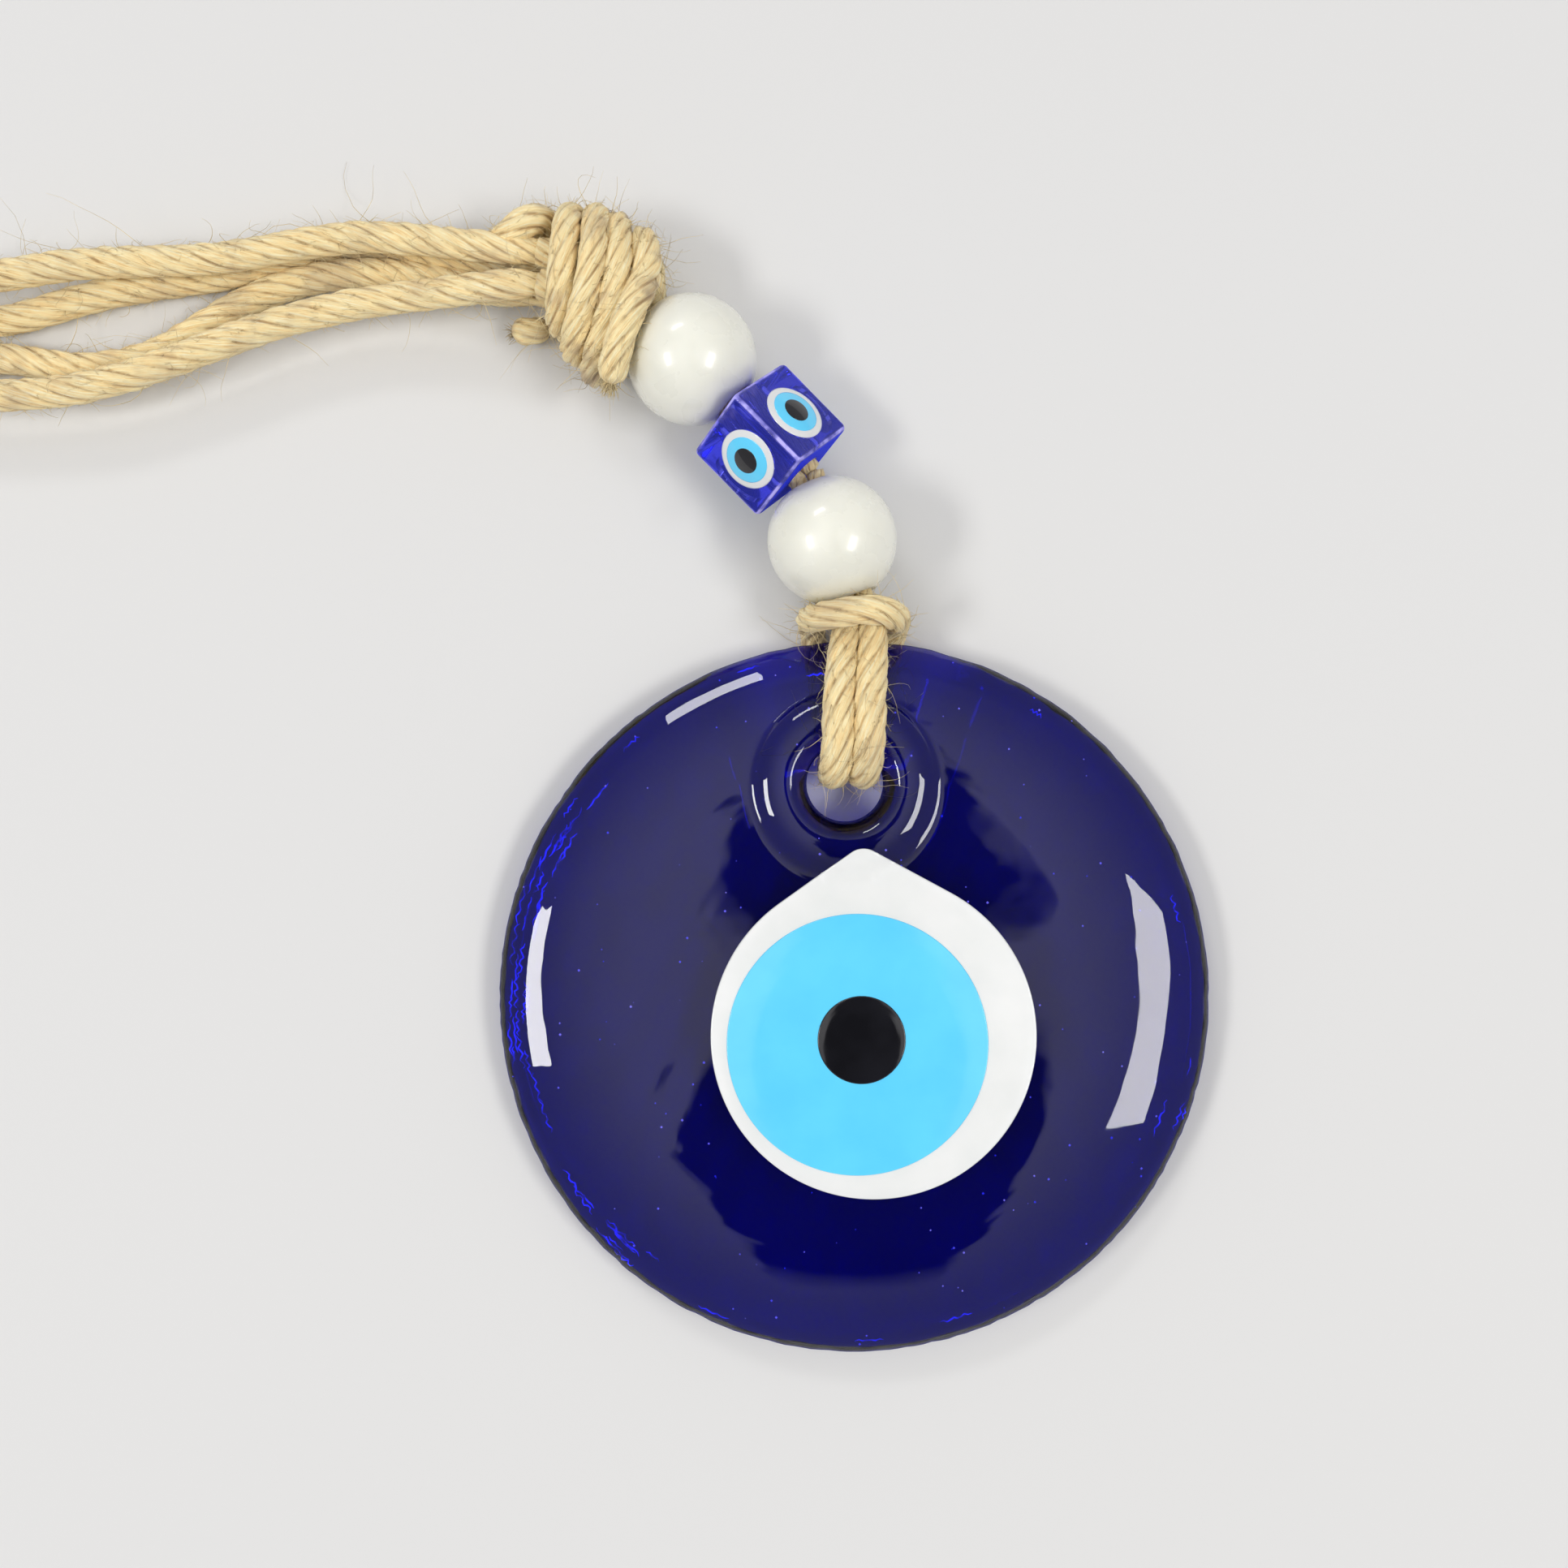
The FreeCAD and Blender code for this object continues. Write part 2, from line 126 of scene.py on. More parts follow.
# Waves of the glass: random seed, length and height of each kind
BACK_WAVES = (5, 17)
LONG_RIPPLE = (3, 30)
LONG_RIPPLE_HEIGHT = 0.016
SHORT_RIPPLE = (4, 9)
SHORT_RIPPLE_HEIGHT = 0.004
RIM_WAVES = (8, 12)
RIM_WAVE_DEPTH = 0.10
RIM_WAVE_STRETCH = 1.6

# Eye
TIP_R = 2.6
TIP_LEAN = 1.3
WHITE_RAISE = 0.35
LAYER_EDGE = 0.22
ROUND_LAYER_EDGE = 0.14
LAYER_DOME = 0.02

# Specks in the glass, which glow with a painted glint, and glowing painted glints near the rim
SEEDS = 150
GLINTS = 60
GLINTS_LEFT = 42

# Round beads
BORE_R = 2.5
BORE_LIP = 0.45

# Eyes of the cube: radius of each drop, height of its rim over the cube's face and rise of its dome
CUBE_EYE = {"white": (3.8, 0.02, 0.45), "iris": (2.92, 0.22, 0.36), "pupil": (1.6, 0.50, 0.18)}

# Cord: plies, thickness beside the CAD strand, and lengths that tell the wraps' strands apart
PLIES = 6
PITCH = 19
PLY_SIDES = 6
GROOVE_FLOOR = 0.84
FULL_GAIN = 1.12
LONG_WRAP_GAIN = 1.18
SHORT_WRAP_GAIN = 1.25
LONG_WRAP = 60
MIDDLE_WRAP = 20
SHORT_WRAP = 8
STEP = 0.5
MARCH_STEP = 0.25
MARCH_STEPS = 4000
BORE_STRAND_R = 1.15
BORE_PITCH = 11.5
BORE_CORD_CLEAR = 0.02
FLOOR_CLEAR = 0.02
HAIR_CLEAR = 0.12
HAIR_STEPS = 7
HAIR_SIDES = 3

# Loose fibres of each cord: how many per millimetre, middle length, curl, thickness and lift of each kind
HITCH_FUZZ = ((10, 1.3, 1.0, 0.045, 0.35), (2.4, 3.6, 1.8, 0.045, 0.8))
LOOP_FUZZ = ((9, 1.3, 1.0, 0.045, 0.3), (1.2, 3.8, 2.4, 0.045, 0.8), (0.08, 8.0, 3.6, 0.045, 0.9))
WRAP_FUZZ = ((10, 1.5, 1.0, 0.045, 0.35), (2.2, 4.2, 2.2, 0.045, 0.8))
TAIL_FUZZ = ((9, 1.2, 1.0, 0.04, 0.5),)
BORE_FUZZ = ((3, 0.7, 0.6, 0.03, 0.1),)

# Studio, in metres
FLOOR_HALF = 3.0
FLOOR_Z = -0.0002
CAMERA_PLACE = (-0.0089, 0.02695)
CAMERA_HEIGHT = 0.2


# Mesh helpers

def placed(name, data):
    """Object made of data, put in the scene."""
    thing = bpy.data.objects.new(name, data)
    bpy.context.scene.collection.objects.link(thing)
    return thing


def mesh_object(name, verts, faces, material, point_data=None):
    """Smooth-shaded object from millimetre points and faces, with optional per-point attributes."""
    mesh = bpy.data.meshes.new(name)
    mesh.from_pydata((np.asarray(verts) * MM).tolist(), [], [list(map(int, f)) for f in faces])
    shell = bmesh.new()
    shell.from_mesh(mesh)
    bmesh.ops.recalc_face_normals(shell, faces=shell.faces)
    shell.to_mesh(mesh)
    shell.free()
    mesh.polygons.foreach_set("use_smooth", [True] * len(mesh.polygons))
    for key, values in (point_data or {}).items():
        values = np.asarray(values, np.float32)
        kind = "FLOAT_VECTOR" if values.ndim == 2 else "FLOAT"
        attribute = mesh.attributes.new(key, kind, "POINT")
        attribute.data.foreach_set("vector" if values.ndim == 2 else "value", values.ravel())
    mesh.materials.append(material)
    mesh.update()
    return placed(name, mesh)


def settle(piece, slot, body, *nodes):
    """Puts a piece on its moving body and hides the CAD nodes it stands for. Its slot argument is not used.
    """
    if nodes:
        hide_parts(*nodes)
    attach(piece, body)


def settle_bending(piece, bodies, start, end, *nodes):
    """Bakes a piece of cord's placement into its mesh and hides the CAD nodes it stands for. Its bodies,
    start and end arguments are not used.
    """
    if nodes:
        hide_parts(*nodes)
    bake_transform(piece)


def ring_faces(rings, around, closed=False):
    """Quads between rings of points that each go once around."""
    faces = []
    last = rings if closed else rings - 1
    for i in range(last):
        a = i * around
        b = ((i + 1) % rings) * around
        for k in range(around):
            n = (k + 1) % around
            faces.append((a + k, a + n, b + n, b + k))
    return faces


def end_fans(rings, around):
    """Triangles that close a stack of rings at its two ends, on two points that come after the rings'."""
    first = rings * around
    end = first - around
    faces = [((k + 1) % around, k, first) for k in range(around)]
    return faces + [(end + k, end + (k + 1) % around, first + 1) for k in range(around)]


def square_frame(axis):
    """Two unit vectors that make a right-handed frame with axis."""
    side = unit(np.cross(axis, UP if abs(axis[2]) < 0.9 else ALONG_X))
    return side, np.cross(axis, side)


def lathe(name, profile, centre, axis, material, closed=False, around=96):
    """Turned piece: profile points are (radius, height along the axis)."""
    side, other = square_frame(axis)
    angle = np.linspace(0, 2 * math.pi, around, endpoint=False)
    around_axis = spokes(angle, side, other)
    verts = np.concatenate([centre + radius * around_axis + height * axis for radius, height in profile])
    faces = ring_faces(len(profile), around, closed)
    if not closed:
        verts = np.concatenate((verts, [centre + profile[i][1] * axis for i in (0, -1)]))
        faces += end_fans(len(profile), around)
    return mesh_object(name, verts, faces, material)


# Glass disc

def smooth_max(a, b, width):
    """Larger of two heights, with the crease between them rounded."""
    share = np.clip(0.5 + (a - b) / (2 * width), 0, 1)
    return b + (a - b) * share + width * share * (1 - share)


def waves(x, y, seed, length):
    """Gentle uneven surface of hand-pressed glass, about -1 to 1."""
    local = np.random.default_rng(seed)
    total = np.zeros_like(x)
    for octave in range(7):
        angle = local.uniform(0, 2 * math.pi)
        wave = length / (1 + 0.45 * octave)
        phase = local.uniform(0, 2 * math.pi)
        total += np.sin((x * math.cos(angle) + y * math.sin(angle)) * 2 * math.pi / wave + phase)
    return total / 4


def from_hole(x, y):
    return np.hypot(x - HOLE_C[0], y - HOLE_C[1])


def front_z(x, y):
    """Height of the disc's front, with the ring round the hole and a faint crease near the rim."""
    r = np.hypot(x, y)
    u = np.clip((r - FLAT_FACE_R) / (DISC_R - FLAT_FACE_R), 0, 1)
    dome = EQUATOR_Z + (FACE_Z - EQUATOR_Z) * np.sqrt(1 - u * u)
    rh = from_hole(x, y)
    v = np.clip((rh - RING_CREST_R) / (RING_FOOT_R - RING_CREST_R), -1, 1)
    ring = RING_FOOT_Z + (DISC_HIGH[2] - RING_FOOT_Z) * np.sqrt(1 - v * v)
    ring = ring - RING_FALL * np.maximum(rh - RING_FOOT_R, 0)
    crease = CREASE_HEIGHT * np.exp(-(((r - CREASE_R) / CREASE_WIDTH) ** 2))
    return smooth_max(ring, dome, RING_BLEND) + crease


def dish_share(x, y):
    """1 in the hollow behind the hole, 0 on the flat back, with a sloped wall."""
    dx = np.abs(x - HOLE_C[0])
    dy = y - HOLE_C[1]
    slope = (DISH_MOUTH_HALF - DISH_R) / DISH_LENGTH
    inside = np.where(dy < 0, DISH_R - np.hypot(dx, dy), (DISH_R + slope * dy - dx) / math.hypot(1, slope))
    t = np.clip(inside / DISH_WALL + DISH_WALL_START, 0, 1)
    return t * t * (3 - 2 * t)


def back_z(x, y):
    """Height of the uneven back and the hollow in it."""
    rough = BACK_ROUGHNESS * (1 + np.clip(waves(x, y, *BACK_WAVES), -1, 1))
    return rough + (DISH_DEPTH - rough) * dish_share(x, y)


def glass_disc(material):
    """Disc of stacked rings, from the hole's waist over the front and round the rim to the back."""
    angle = np.linspace(0, 2 * math.pi, AROUND, endpoint=False)
    cos, sin = np.cos(angle), np.sin(angle)
    rings = []

    def add(centre, radius, height):
        x = centre[0] + radius * cos
        y = centre[1] + radius * sin
        z = height(x, y) if callable(height) else np.full(AROUND, float(height))
        rings.append(np.stack((x, y, z), 1))

    for t in np.linspace(0, math.pi / 2, 15)[:-1]:
        add(HOLE_C, RING_CREST_R - (RING_CREST_R - HOLE_R) * math.cos(t),
            HOLE_WAIST_Z + (DISC_HIGH[2] - HOLE_WAIST_Z) * math.sin(t))
    for radius in np.linspace(RING_CREST_R, RING_FOOT_R, 18)[:-1]:
        add(HOLE_C, radius, front_z)
    for t in np.linspace(0, 1, 34)[:-1]:
        add(HOLE_C * (1 - t), RING_FOOT_R + (FACE_EDGE_R - RING_FOOT_R) * t, front_z)
    start = math.asin((FACE_EDGE_R - FLAT_FACE_R) / (DISC_R - FLAT_FACE_R))
    for t in np.linspace(start, math.pi / 2, 30)[:-1]:
        add((0, 0), FLAT_FACE_R + (DISC_R - FLAT_FACE_R) * math.sin(t), front_z)
    for t in np.linspace(0, math.pi / 2, 14)[:-1]:
        add((0, 0), FLAT_BACK_R + (DISC_R - FLAT_BACK_R) * math.cos(t), EQUATOR_Z * (1 - math.sin(t)))
    for t in np.linspace(0, 1, 64):
        share = 1 - (1 - t) ** 1.5
        add(HOLE_C * share, FLAT_BACK_R + (BACK_LIP_R + 0.3 - FLAT_BACK_R) * share, back_z)
    for t in np.linspace(0, 1, 8)[:-1]:
        add(HOLE_C, BACK_LIP_R + (HOLE_R - BACK_LIP_R) * t, BACK_LIP_Z + (HOLE_WAIST_Z - BACK_LIP_Z) * t)
    verts = press_marks(np.concatenate(rings))
    return mesh_object("glass_disc_pressed", verts, ring_faces(len(rings), AROUND, True), material)


def press_marks(verts):
    """Disc points moved by the ripples of its face and the dents of its rim."""
    x, y, z = verts.T
    hollow = DISH_DEPTH * dish_share(x, y)
    z = np.maximum(z, np.where(np.hypot(x, y) > FLAT_BACK_R - 1, hollow, -1))
    r = np.hypot(x, y)
    ripple = waves(x, y, *LONG_RIPPLE) * LONG_RIPPLE_HEIGHT
    ripple = ripple + waves(x, y, *SHORT_RIPPLE) * SHORT_RIPPLE_HEIGHT
    outside_ring = np.clip((from_hole(x, y) - RING_CREST_R) / 4, 0, 1)
    z = z + np.where(z > EQUATOR_Z + 0.6, ripple * outside_ring * np.clip((r - 15) / 10, 0, 1), 0)
    low_rim = (z < EQUATOR_Z + 1.5) & (r > FLAT_BACK_R)
    dents = waves(x * RIM_WAVE_STRETCH, y * RIM_WAVE_STRETCH, *RIM_WAVES) * RIM_WAVE_DEPTH
    spoke = 1 - np.clip(np.where(low_rim, dents, 0) + 0.05, 0, 0.25) / np.maximum(r, 1)
    return np.stack((x * spoke, y * spoke, np.maximum(z, 0)), 1)


# Eye layers

def teardrop(inset):
    """Outline of the white: a big circle and a small tip circle with their outer tangents."""
    low, high = box("eye_white")
    radius = (high[0] - low[0]) / 2
    centre = np.array(((low[0] + high[0]) / 2, low[1] + radius))
    tip = np.array((centre[0] - TIP_LEAN, high[1] - TIP_R))
    span = tip - centre
    lean = math.atan2(span[1], span[0])
    spread = math.acos((radius - TIP_R) / np.hypot(*span))
    around_tip = np.linspace(lean - spread, lean + spread, 24)
    around_white = np.linspace(lean + spread, lean - spread + 2 * math.pi, 120)
    points = [tip + (TIP_R - inset) * np.array((math.cos(a), math.sin(a))) for a in around_tip]
    corner = points[-1]
    first = centre + (radius - inset) * np.array((math.cos(around_white[0]), math.sin(around_white[0])))
    points += [corner + (first - corner) * t for t in np.linspace(0, 1, 18)[1:-1]]
    points += [centre + (radius - inset) * np.array((math.cos(a), math.sin(a))) for a in around_white]
    last = points[-1]
    points += [last + (points[0] - last) * t for t in np.linspace(0, 1, 18)[1:-1]]
    return np.array(points), centre


def eye_white_layer(material):
    """White of the eye: follows the glass, a little proud of it, with a melted round edge."""
    outline, centre = teardrop(0)
    rings = [np.column_stack((outline, np.full(len(outline), box("eye_white")[0][2] + 0.2)))]
    for angle in np.linspace(0, math.pi / 2, 6):
        outline, centre = teardrop(LAYER_EDGE * (1 - math.cos(angle)))
        top = front_z(outline[:, 0], outline[:, 1]) + WHITE_RAISE - LAYER_EDGE * (1 - math.sin(angle))
        rings.append(np.column_stack((outline, top)))
    for share in np.linspace(0, 1, 22)[1:-1]:
        inner = centre + (outline - centre) * (1 - share)
        rings.append(np.column_stack((inner, front_z(inner[:, 0], inner[:, 1]) + WHITE_RAISE)))
    verts = np.concatenate((*rings, [(*centre, rings[0][0][2]), (*centre, FACE_Z + WHITE_RAISE)]))
    faces = ring_faces(len(rings), len(outline)) + end_fans(len(rings), len(outline))
    return mesh_object("eye_white_layer", verts, faces, material)


def eye_disc(name, node, material):
    """Round layer of the eye with a melted edge and a barely domed top."""
    edge = ROUND_LAYER_EDGE
    low, high = box(node)
    radius = (high[0] - low[0]) / 2
    centre = (low + high) / 2
    centre[2] = low[2]
    height = high[2] - low[2]
    profile = [(radius * 0.5, 0), (radius, 0)]
    for angle in np.linspace(0, math.pi / 2, 7):
        profile.append((radius - edge * (1 - math.cos(angle)), height - edge * (1 - math.sin(angle))))
    for share in (0.75, 0.5, 0.25):
        profile.append((radius * share, height + LAYER_DOME * (1 - share)))
    return lathe(name, profile, centre, UP, material, around=144)


# Beads

def milk_bead(name, centre, axis, material):
    """Round bead with a softened bore."""
    mouth = math.acos((BORE_R + BORE_LIP) / BEAD_R)
    end = BEAD_R * math.sin(mouth)
    profile = [(BORE_R, 0), (BORE_R, -end + 0.55), (BORE_R + 0.12, -end + 0.2)]
    profile += [(BEAD_R * math.cos(a), BEAD_R * math.sin(a)) for a in np.linspace(-mouth, mouth, 60)]
    profile += [(BORE_R + 0.12, end - 0.2), (BORE_R, end - 0.55)]
    return lathe(name, profile, centre, axis, material, closed=True, around=112)


def middle_of(node):
    low, high = box(node)
    return (low + high) / 2


def eye_reach(letter):
    """From the cube's middle to the middle of one of its eyes."""
    return middle_of(f"cube_eye_{letter}_pupil") - middle_of("cube_bead")


def face_direction(letter):
    """Direction the face of the cube with this eye looks."""
    reach = eye_reach(letter)
    return unit(reach - UPPER_DIR * (reach @ UPPER_DIR))


def cube_eye_layer(letter, layer, material):
    """Domed drop of one of the cube's eyes, lying on the wider drop below it."""
    out = face_direction(letter)
    middle = middle_of("cube_bead")
    half_edge = ((cad_triangles("cube_bead").reshape(-1, 3) - middle) @ out).max()
    centre = middle + out * half_edge + UPPER_DIR * (eye_reach(letter) @ UPPER_DIR)
    radius, foot, rise = CUBE_EYE[layer]
    profile = [(radius * 0.5, -0.1), (radius * 0.96, -0.1), (radius, foot)]
    for share in np.linspace(0.96, 0.08, 12):
        profile.append((radius * share, foot + rise * (1 - share * share)))
    return lathe(f"cube_eye_{letter}_{layer}_drop", profile, centre, out, material, around=64)


# Cord paths, read from the CAD strands

def cad_triangles(node):
    """Triangles of a CAD node in millimetres, as an (n, 3, 3) array."""
    mesh = frame["nodes"][node].data
    mesh.calc_loop_triangles()
    points = np.empty(len(mesh.vertices) * 3)
    mesh.vertices.foreach_get("co", points)
    corners = np.empty(len(mesh.loop_triangles) * 3, np.int32)
    mesh.loop_triangles.foreach_get("vertices", corners)
    return points.reshape(-1, 3)[corners].reshape(-1, 3, 3) / MM


def section(triangles, point, normal):
    """Middles and lengths of the cuts a plane makes through triangles, and which triangles they cross."""
    height = (triangles - point) @ normal
    crossed = (height.min(1) < 0) & (height.max(1) >= 0)
    rows_cut = np.nonzero(crossed)[0]
    triangles, height = triangles[crossed], height[crossed]
    ends = np.zeros((len(triangles), 2, 3))
    found = np.zeros(len(triangles), int)
    for i, j in ((0, 1), (1, 2), (2, 0)):
        hit = (height[:, i] < 0) != (height[:, j] < 0)
        share = (height[:, i] / np.where(hit, height[:, i] - height[:, j], 1))[:, None]
        place = triangles[:, i] + (triangles[:, j] - triangles[:, i]) * share
        rows = np.nonzero(hit & (found < 2))[0]
        ends[rows, found[rows]] = place[rows]
        found[rows] += 1
    return ends.mean(1), np.linalg.norm(ends[:, 0] - ends[:, 1], axis=1), rows_cut


def surface_distance(triangles, start):
    """Distance along the surface from the corner nearest to start, for each triangle's corners."""
    keys = np.round(triangles.reshape(-1, 3) * 1000).astype(int)
    keys, corner = np.unique(keys, axis=0, return_inverse=True)
    points = keys / 1000
    corner = corner.reshape(-1, 3)
    links = [[] for _ in points]
    for i, j in ((0, 1), (1, 2), (2, 0)):
        spans = np.linalg.norm(points[corner[:, i]] - points[corner[:, j]], axis=1)
        for a, b, span in zip(corner[:, i].tolist(), corner[:, j].tolist(), spans.tolist()):
            links[a].append((b, span))
            links[b].append((a, span))
    first = int(np.argmin(np.linalg.norm(points - start, axis=1)))
    distance = np.full(len(points), np.inf)
    distance[first] = 0
    queue = [(0.0, first)]
    while queue:
        here, a = heapq.heappop(queue)
        if here > distance[a]:
            continue
        for b, span in links[a]:
            if here + span < distance[b]:
                distance[b] = here + span
                heapq.heappush(queue, (here + span, b))
    return distance[corner]


def march(triangles, start, along, radius, corner):
    """Centre line of the round strand that corner lies on, cut square to its path at small steps;
    rows of x, y, z, radius."""
    distance = surface_distance(triangles, corner)
    path = []
    point = start
    here = 0.0
    for _ in range(MARCH_STEPS):
        local = (distance.min(1) < here + 3 * radius) & (distance.max(1) > here - 3 * radius)
        middles, lengths, rows = section(triangles[local], point, along)
        for reach in ((1.6, 1.3) if len(path) < 4 else (1.25, 1.15)):
            near = np.linalg.norm(middles - point, axis=1) < reach * radius
            total = lengths[near].sum()
            if total < 5.2 * radius:
                return np.array(path[::2])
            point = (middles[near] * lengths[near, None]).sum(0) / total
        radius = (np.linalg.norm(middles[near] - point, axis=1) * lengths[near]).sum() / total
        here = distance[local][rows[near]].mean()
        if len(path) > 2:
            along = unit(point - path[-2][:3])
        path.append(np.array((*point, radius)))
        point = point + along * MARCH_STEP
    return np.array(path[::2])


def end_caps(triangles):
    """Centre, inward direction, radius and a corner of each flat round end."""
    normal = np.cross(triangles[:, 1] - triangles[:, 0], triangles[:, 2] - triangles[:, 0])
    size = np.linalg.norm(normal, axis=1)
    triangles, normal, size = triangles[size > 1e-9], normal[size > 1e-9], size[size > 1e-9]
    normal = normal / size[:, None]
    offset = (normal * triangles[:, 0]).sum(1)
    keys = np.round(np.column_stack((normal * 50, offset * 20)) + 0.317).astype(int)
    _, group = np.unique(keys, axis=0, return_inverse=True)
    group = group.ravel()
    caps = []
    for g in range(group.max() + 1):
        chosen = group == g
        area = size[chosen].sum() / 2
        if area < 3:
            continue
        weights = size[chosen] / size[chosen].sum()
        centre = (triangles[chosen].mean(1) * weights[:, None]).sum(0)
        radius = np.linalg.norm(triangles[chosen] - centre, axis=2).max()
        if area > 0.85 * math.pi * radius ** 2:
            caps.append((centre, -normal[chosen][0], radius, triangles[chosen][0, 0]))
    return caps


def strand_paths(node):
    """Centre lines of all the strands of a CAD node that end in flat caps."""
    triangles = cad_triangles(node)
    paths = []
    for centre, inward, radius, corner in end_caps(triangles):
        if any(np.linalg.norm(p[-1, :3] - centre) < 1.5 for p in paths):
            continue
        paths.append(march(triangles, centre + inward * 0.3, inward, radius, corner))
    return paths


def loop_path(node, across):
    """Centre line of a loop from its upper root round to its lower root. Both sides are followed from a
    cut past the fold to the loop's end, which is the far side of the node's box."""
    triangles = cad_triangles(node)
    middles, lengths, _ = section(triangles, FOLD_C - across * ALONG_X, -ALONG_X)
    level = (middles[:, 1].min() + middles[:, 1].max()) / 2
    sides = []
    for chosen in (middles[:, 1] > level, middles[:, 1] <= level):
        seed = (middles[chosen] * lengths[chosen, None]).sum(0) / lengths[chosen].sum()
        radius = lengths[chosen].sum() / (2 * math.pi)
        outward = march(triangles, seed, -ALONG_X, radius, seed)
        inward = march(triangles, seed, ALONG_X, radius, seed)
        outward = outward[:max(2, int(np.argmin(outward[:, 0])) - 6)]
        sides.append(np.concatenate((inward[::-1], outward[1:]))[::5])
    end = (sides[0][-1] + sides[1][-1]) / 2
    end[0] = box(node)[0][0] + end[3]
    return curve_path(np.concatenate((sides[0], [end], sides[1][::-1])))


def evened(path):
    """Path with small steps in it averaged out."""
    kernel = np.ones(7) / 7
    padded = np.concatenate((path[:1].repeat(3, 0), path, path[-1:].repeat(3, 0)))
    out = np.stack([np.convolve(padded[:, i], kernel, "valid") for i in range(4)], 1)
    out[0], out[-1] = path[0], path[-1]
    return out


def extended(path, before, after):
    """Path lengthened straight on at its two ends."""
    parts = [path]
    if before > 0:
        back = unit(path[0, :3] - path[3, :3])
        steps = np.arange(before, 0, -STEP)[:, None]
        parts.insert(0, np.column_stack((path[0, :3] + back * steps, np.full(len(steps), path[0, 3]))))
    if after > 0:
        on = unit(path[-1, :3] - path[-4, :3])
        steps = np.arange(STEP, after + STEP / 2, STEP)[:, None]
        parts.append(np.column_stack((path[-1, :3] + on * steps, np.full(len(steps), path[-1, 3]))))
    return np.concatenate(parts)


def curve_path(marks):
    """Smooth path through marks (x, y, z, radius), evenly stepped."""
    marks = np.array(marks, float)
    padded = np.concatenate((2 * marks[:1] - marks[1:2], marks, 2 * marks[-1:] - marks[-2:-1]))
    points = []
    for i in range(1, len(padded) - 2):
        p0, p1, p2, p3 = padded[i - 1:i + 3]
        for t in np.linspace(0, 1, 24, endpoint=False):
            points.append(0.5 * (2 * p1 + (p2 - p0) * t + (2 * p0 - 5 * p1 + 4 * p2 - p3) * t * t
                                 + (3 * p1 - p0 - 3 * p2 + p3) * t ** 3))
    points.append(marks[-1])
    points = np.array(points)
    length = np.concatenate(([0], np.cumsum(np.linalg.norm(np.diff(points[:, :3], axis=0), axis=1))))
    even = np.linspace(0, length[-1], max(4, round(length[-1] / STEP)))
    return np.stack([np.interp(even, length, points[:, i]) for i in range(4)], 1)


# Cord meshes

class Batch:
    """Cord geometry gathered into one piece, with its painted groove shade and fibre coordinates as
    attributes.
    """

    def __init__(self):
        self.verts = []
        self.faces = []
        self.groove_shade = []
        self.fibre = []
        self.count = 0

    def add(self, verts, faces, groove_shade, fibre):
        self.verts.append(verts)
        self.faces.extend((np.asarray(f) + self.count).tolist() for f in faces)
        self.groove_shade.append(groove_shade)
        self.fibre.append(fibre)
        self.count += len(verts)

    def piece(self, name, material):
        data = {"groove_shade": np.concatenate(self.groove_shade), "fibre": np.concatenate(self.fibre)}
        return mesh_object(name, np.concatenate(self.verts), self.faces, material, data)


def spokes(angle, side, other):
    """Directions square to a path, at an angle from its side vector."""
    return np.cos(angle)[..., None] * side + np.sin(angle)[..., None] * other


def transported_frames(points):
    """Direction and a side vector that doesn't spin, at each point of a path."""
    along = unit(np.gradient(points, axis=0))
    side = square_frame(along[0])[0]
    sides = []
    for direction in along:
        side = unit(side - direction * (side @ direction))
        sides.append(side)
    return along, np.array(sides)


def ply_outline():
    """Directions round a cord of radius 1 and its reach in each: soft plies with narrow grooves between."""
    count = PLIES * PLY_SIDES
    angle = np.arange(count) * 2 * math.pi / count
    from_groove = np.abs((angle * PLIES / (2 * math.pi) + 0.5) % 1 - 0.5) * 2
    return angle, 1 - (1 - GROOVE_FLOOR) * (1 - from_groove) ** 2.5


def add_cord(batch, path, gain=1.0, turn=0.0, pitch=PITCH, domed=False):
    """Laid cord along a path: soft plies, ridged with fibres, its ends domed if asked."""
    points, radius = path[:, :3], path[:, 3] * gain
    along, side = transported_frames(points)
    other = np.cross(along, side)
    length = np.concatenate(([0], np.cumsum(np.linalg.norm(np.diff(points, axis=0), axis=1))))
    if domed:
        from_end = np.minimum(length, length[-1] - length) / radius
        radius = radius * np.sqrt(1 - 0.96 * (1 - np.clip(from_end, 0, 1)) ** 2)
    angle, reach = ply_outline()
    count = len(angle)
    knots = max(3, int(length[-1] / 2.2))
    ridge = np.stack([np.interp(length, np.linspace(0, length[-1], knots), rng.normal(0, 1, knots))
                      for _ in range(count)], 1)
    twist = turn + 2 * math.pi * length / pitch
    rho = reach[None, :] * (1 + 0.035 * ridge)
    spin = angle[None, :] + twist[:, None]
    around = spokes(spin, side[:, None], other[:, None])
    verts = points[:, None] + around * (rho * radius[:, None])[..., None]
    verts[..., 2] = np.maximum(verts[..., 2], FLOOR_CLEAR)
    # How far each point sits down a groove, roughened by the ridges; the jute paints shade from it.
    depth = np.broadcast_to((1 - reach) / (1 - GROOVE_FLOOR), rho.shape) - 0.15 * ridge
    start = rng.uniform(0, 400)
    lay = angle[None, :] + 0.35 * twist[:, None]
    run = np.broadcast_to((start + length)[:, None], lay.shape)
    fibre = np.stack((run, np.cos(lay) * 2, np.sin(lay) * 2), 2)
    ends = np.stack((points[0] - along[0] * radius[0] * 0.3, points[-1] + along[-1] * radius[-1] * 0.3))
    batch.add(np.concatenate((verts.reshape(-1, 3), ends)),
              ring_faces(len(points), count) + end_fans(len(points), count),
              np.concatenate((depth.ravel(), (0.5, 0.5))),
              np.concatenate((fibre.reshape(-1, 3), fibre[0, :1], fibre[-1, :1])))
    return points, along, side, other, radius


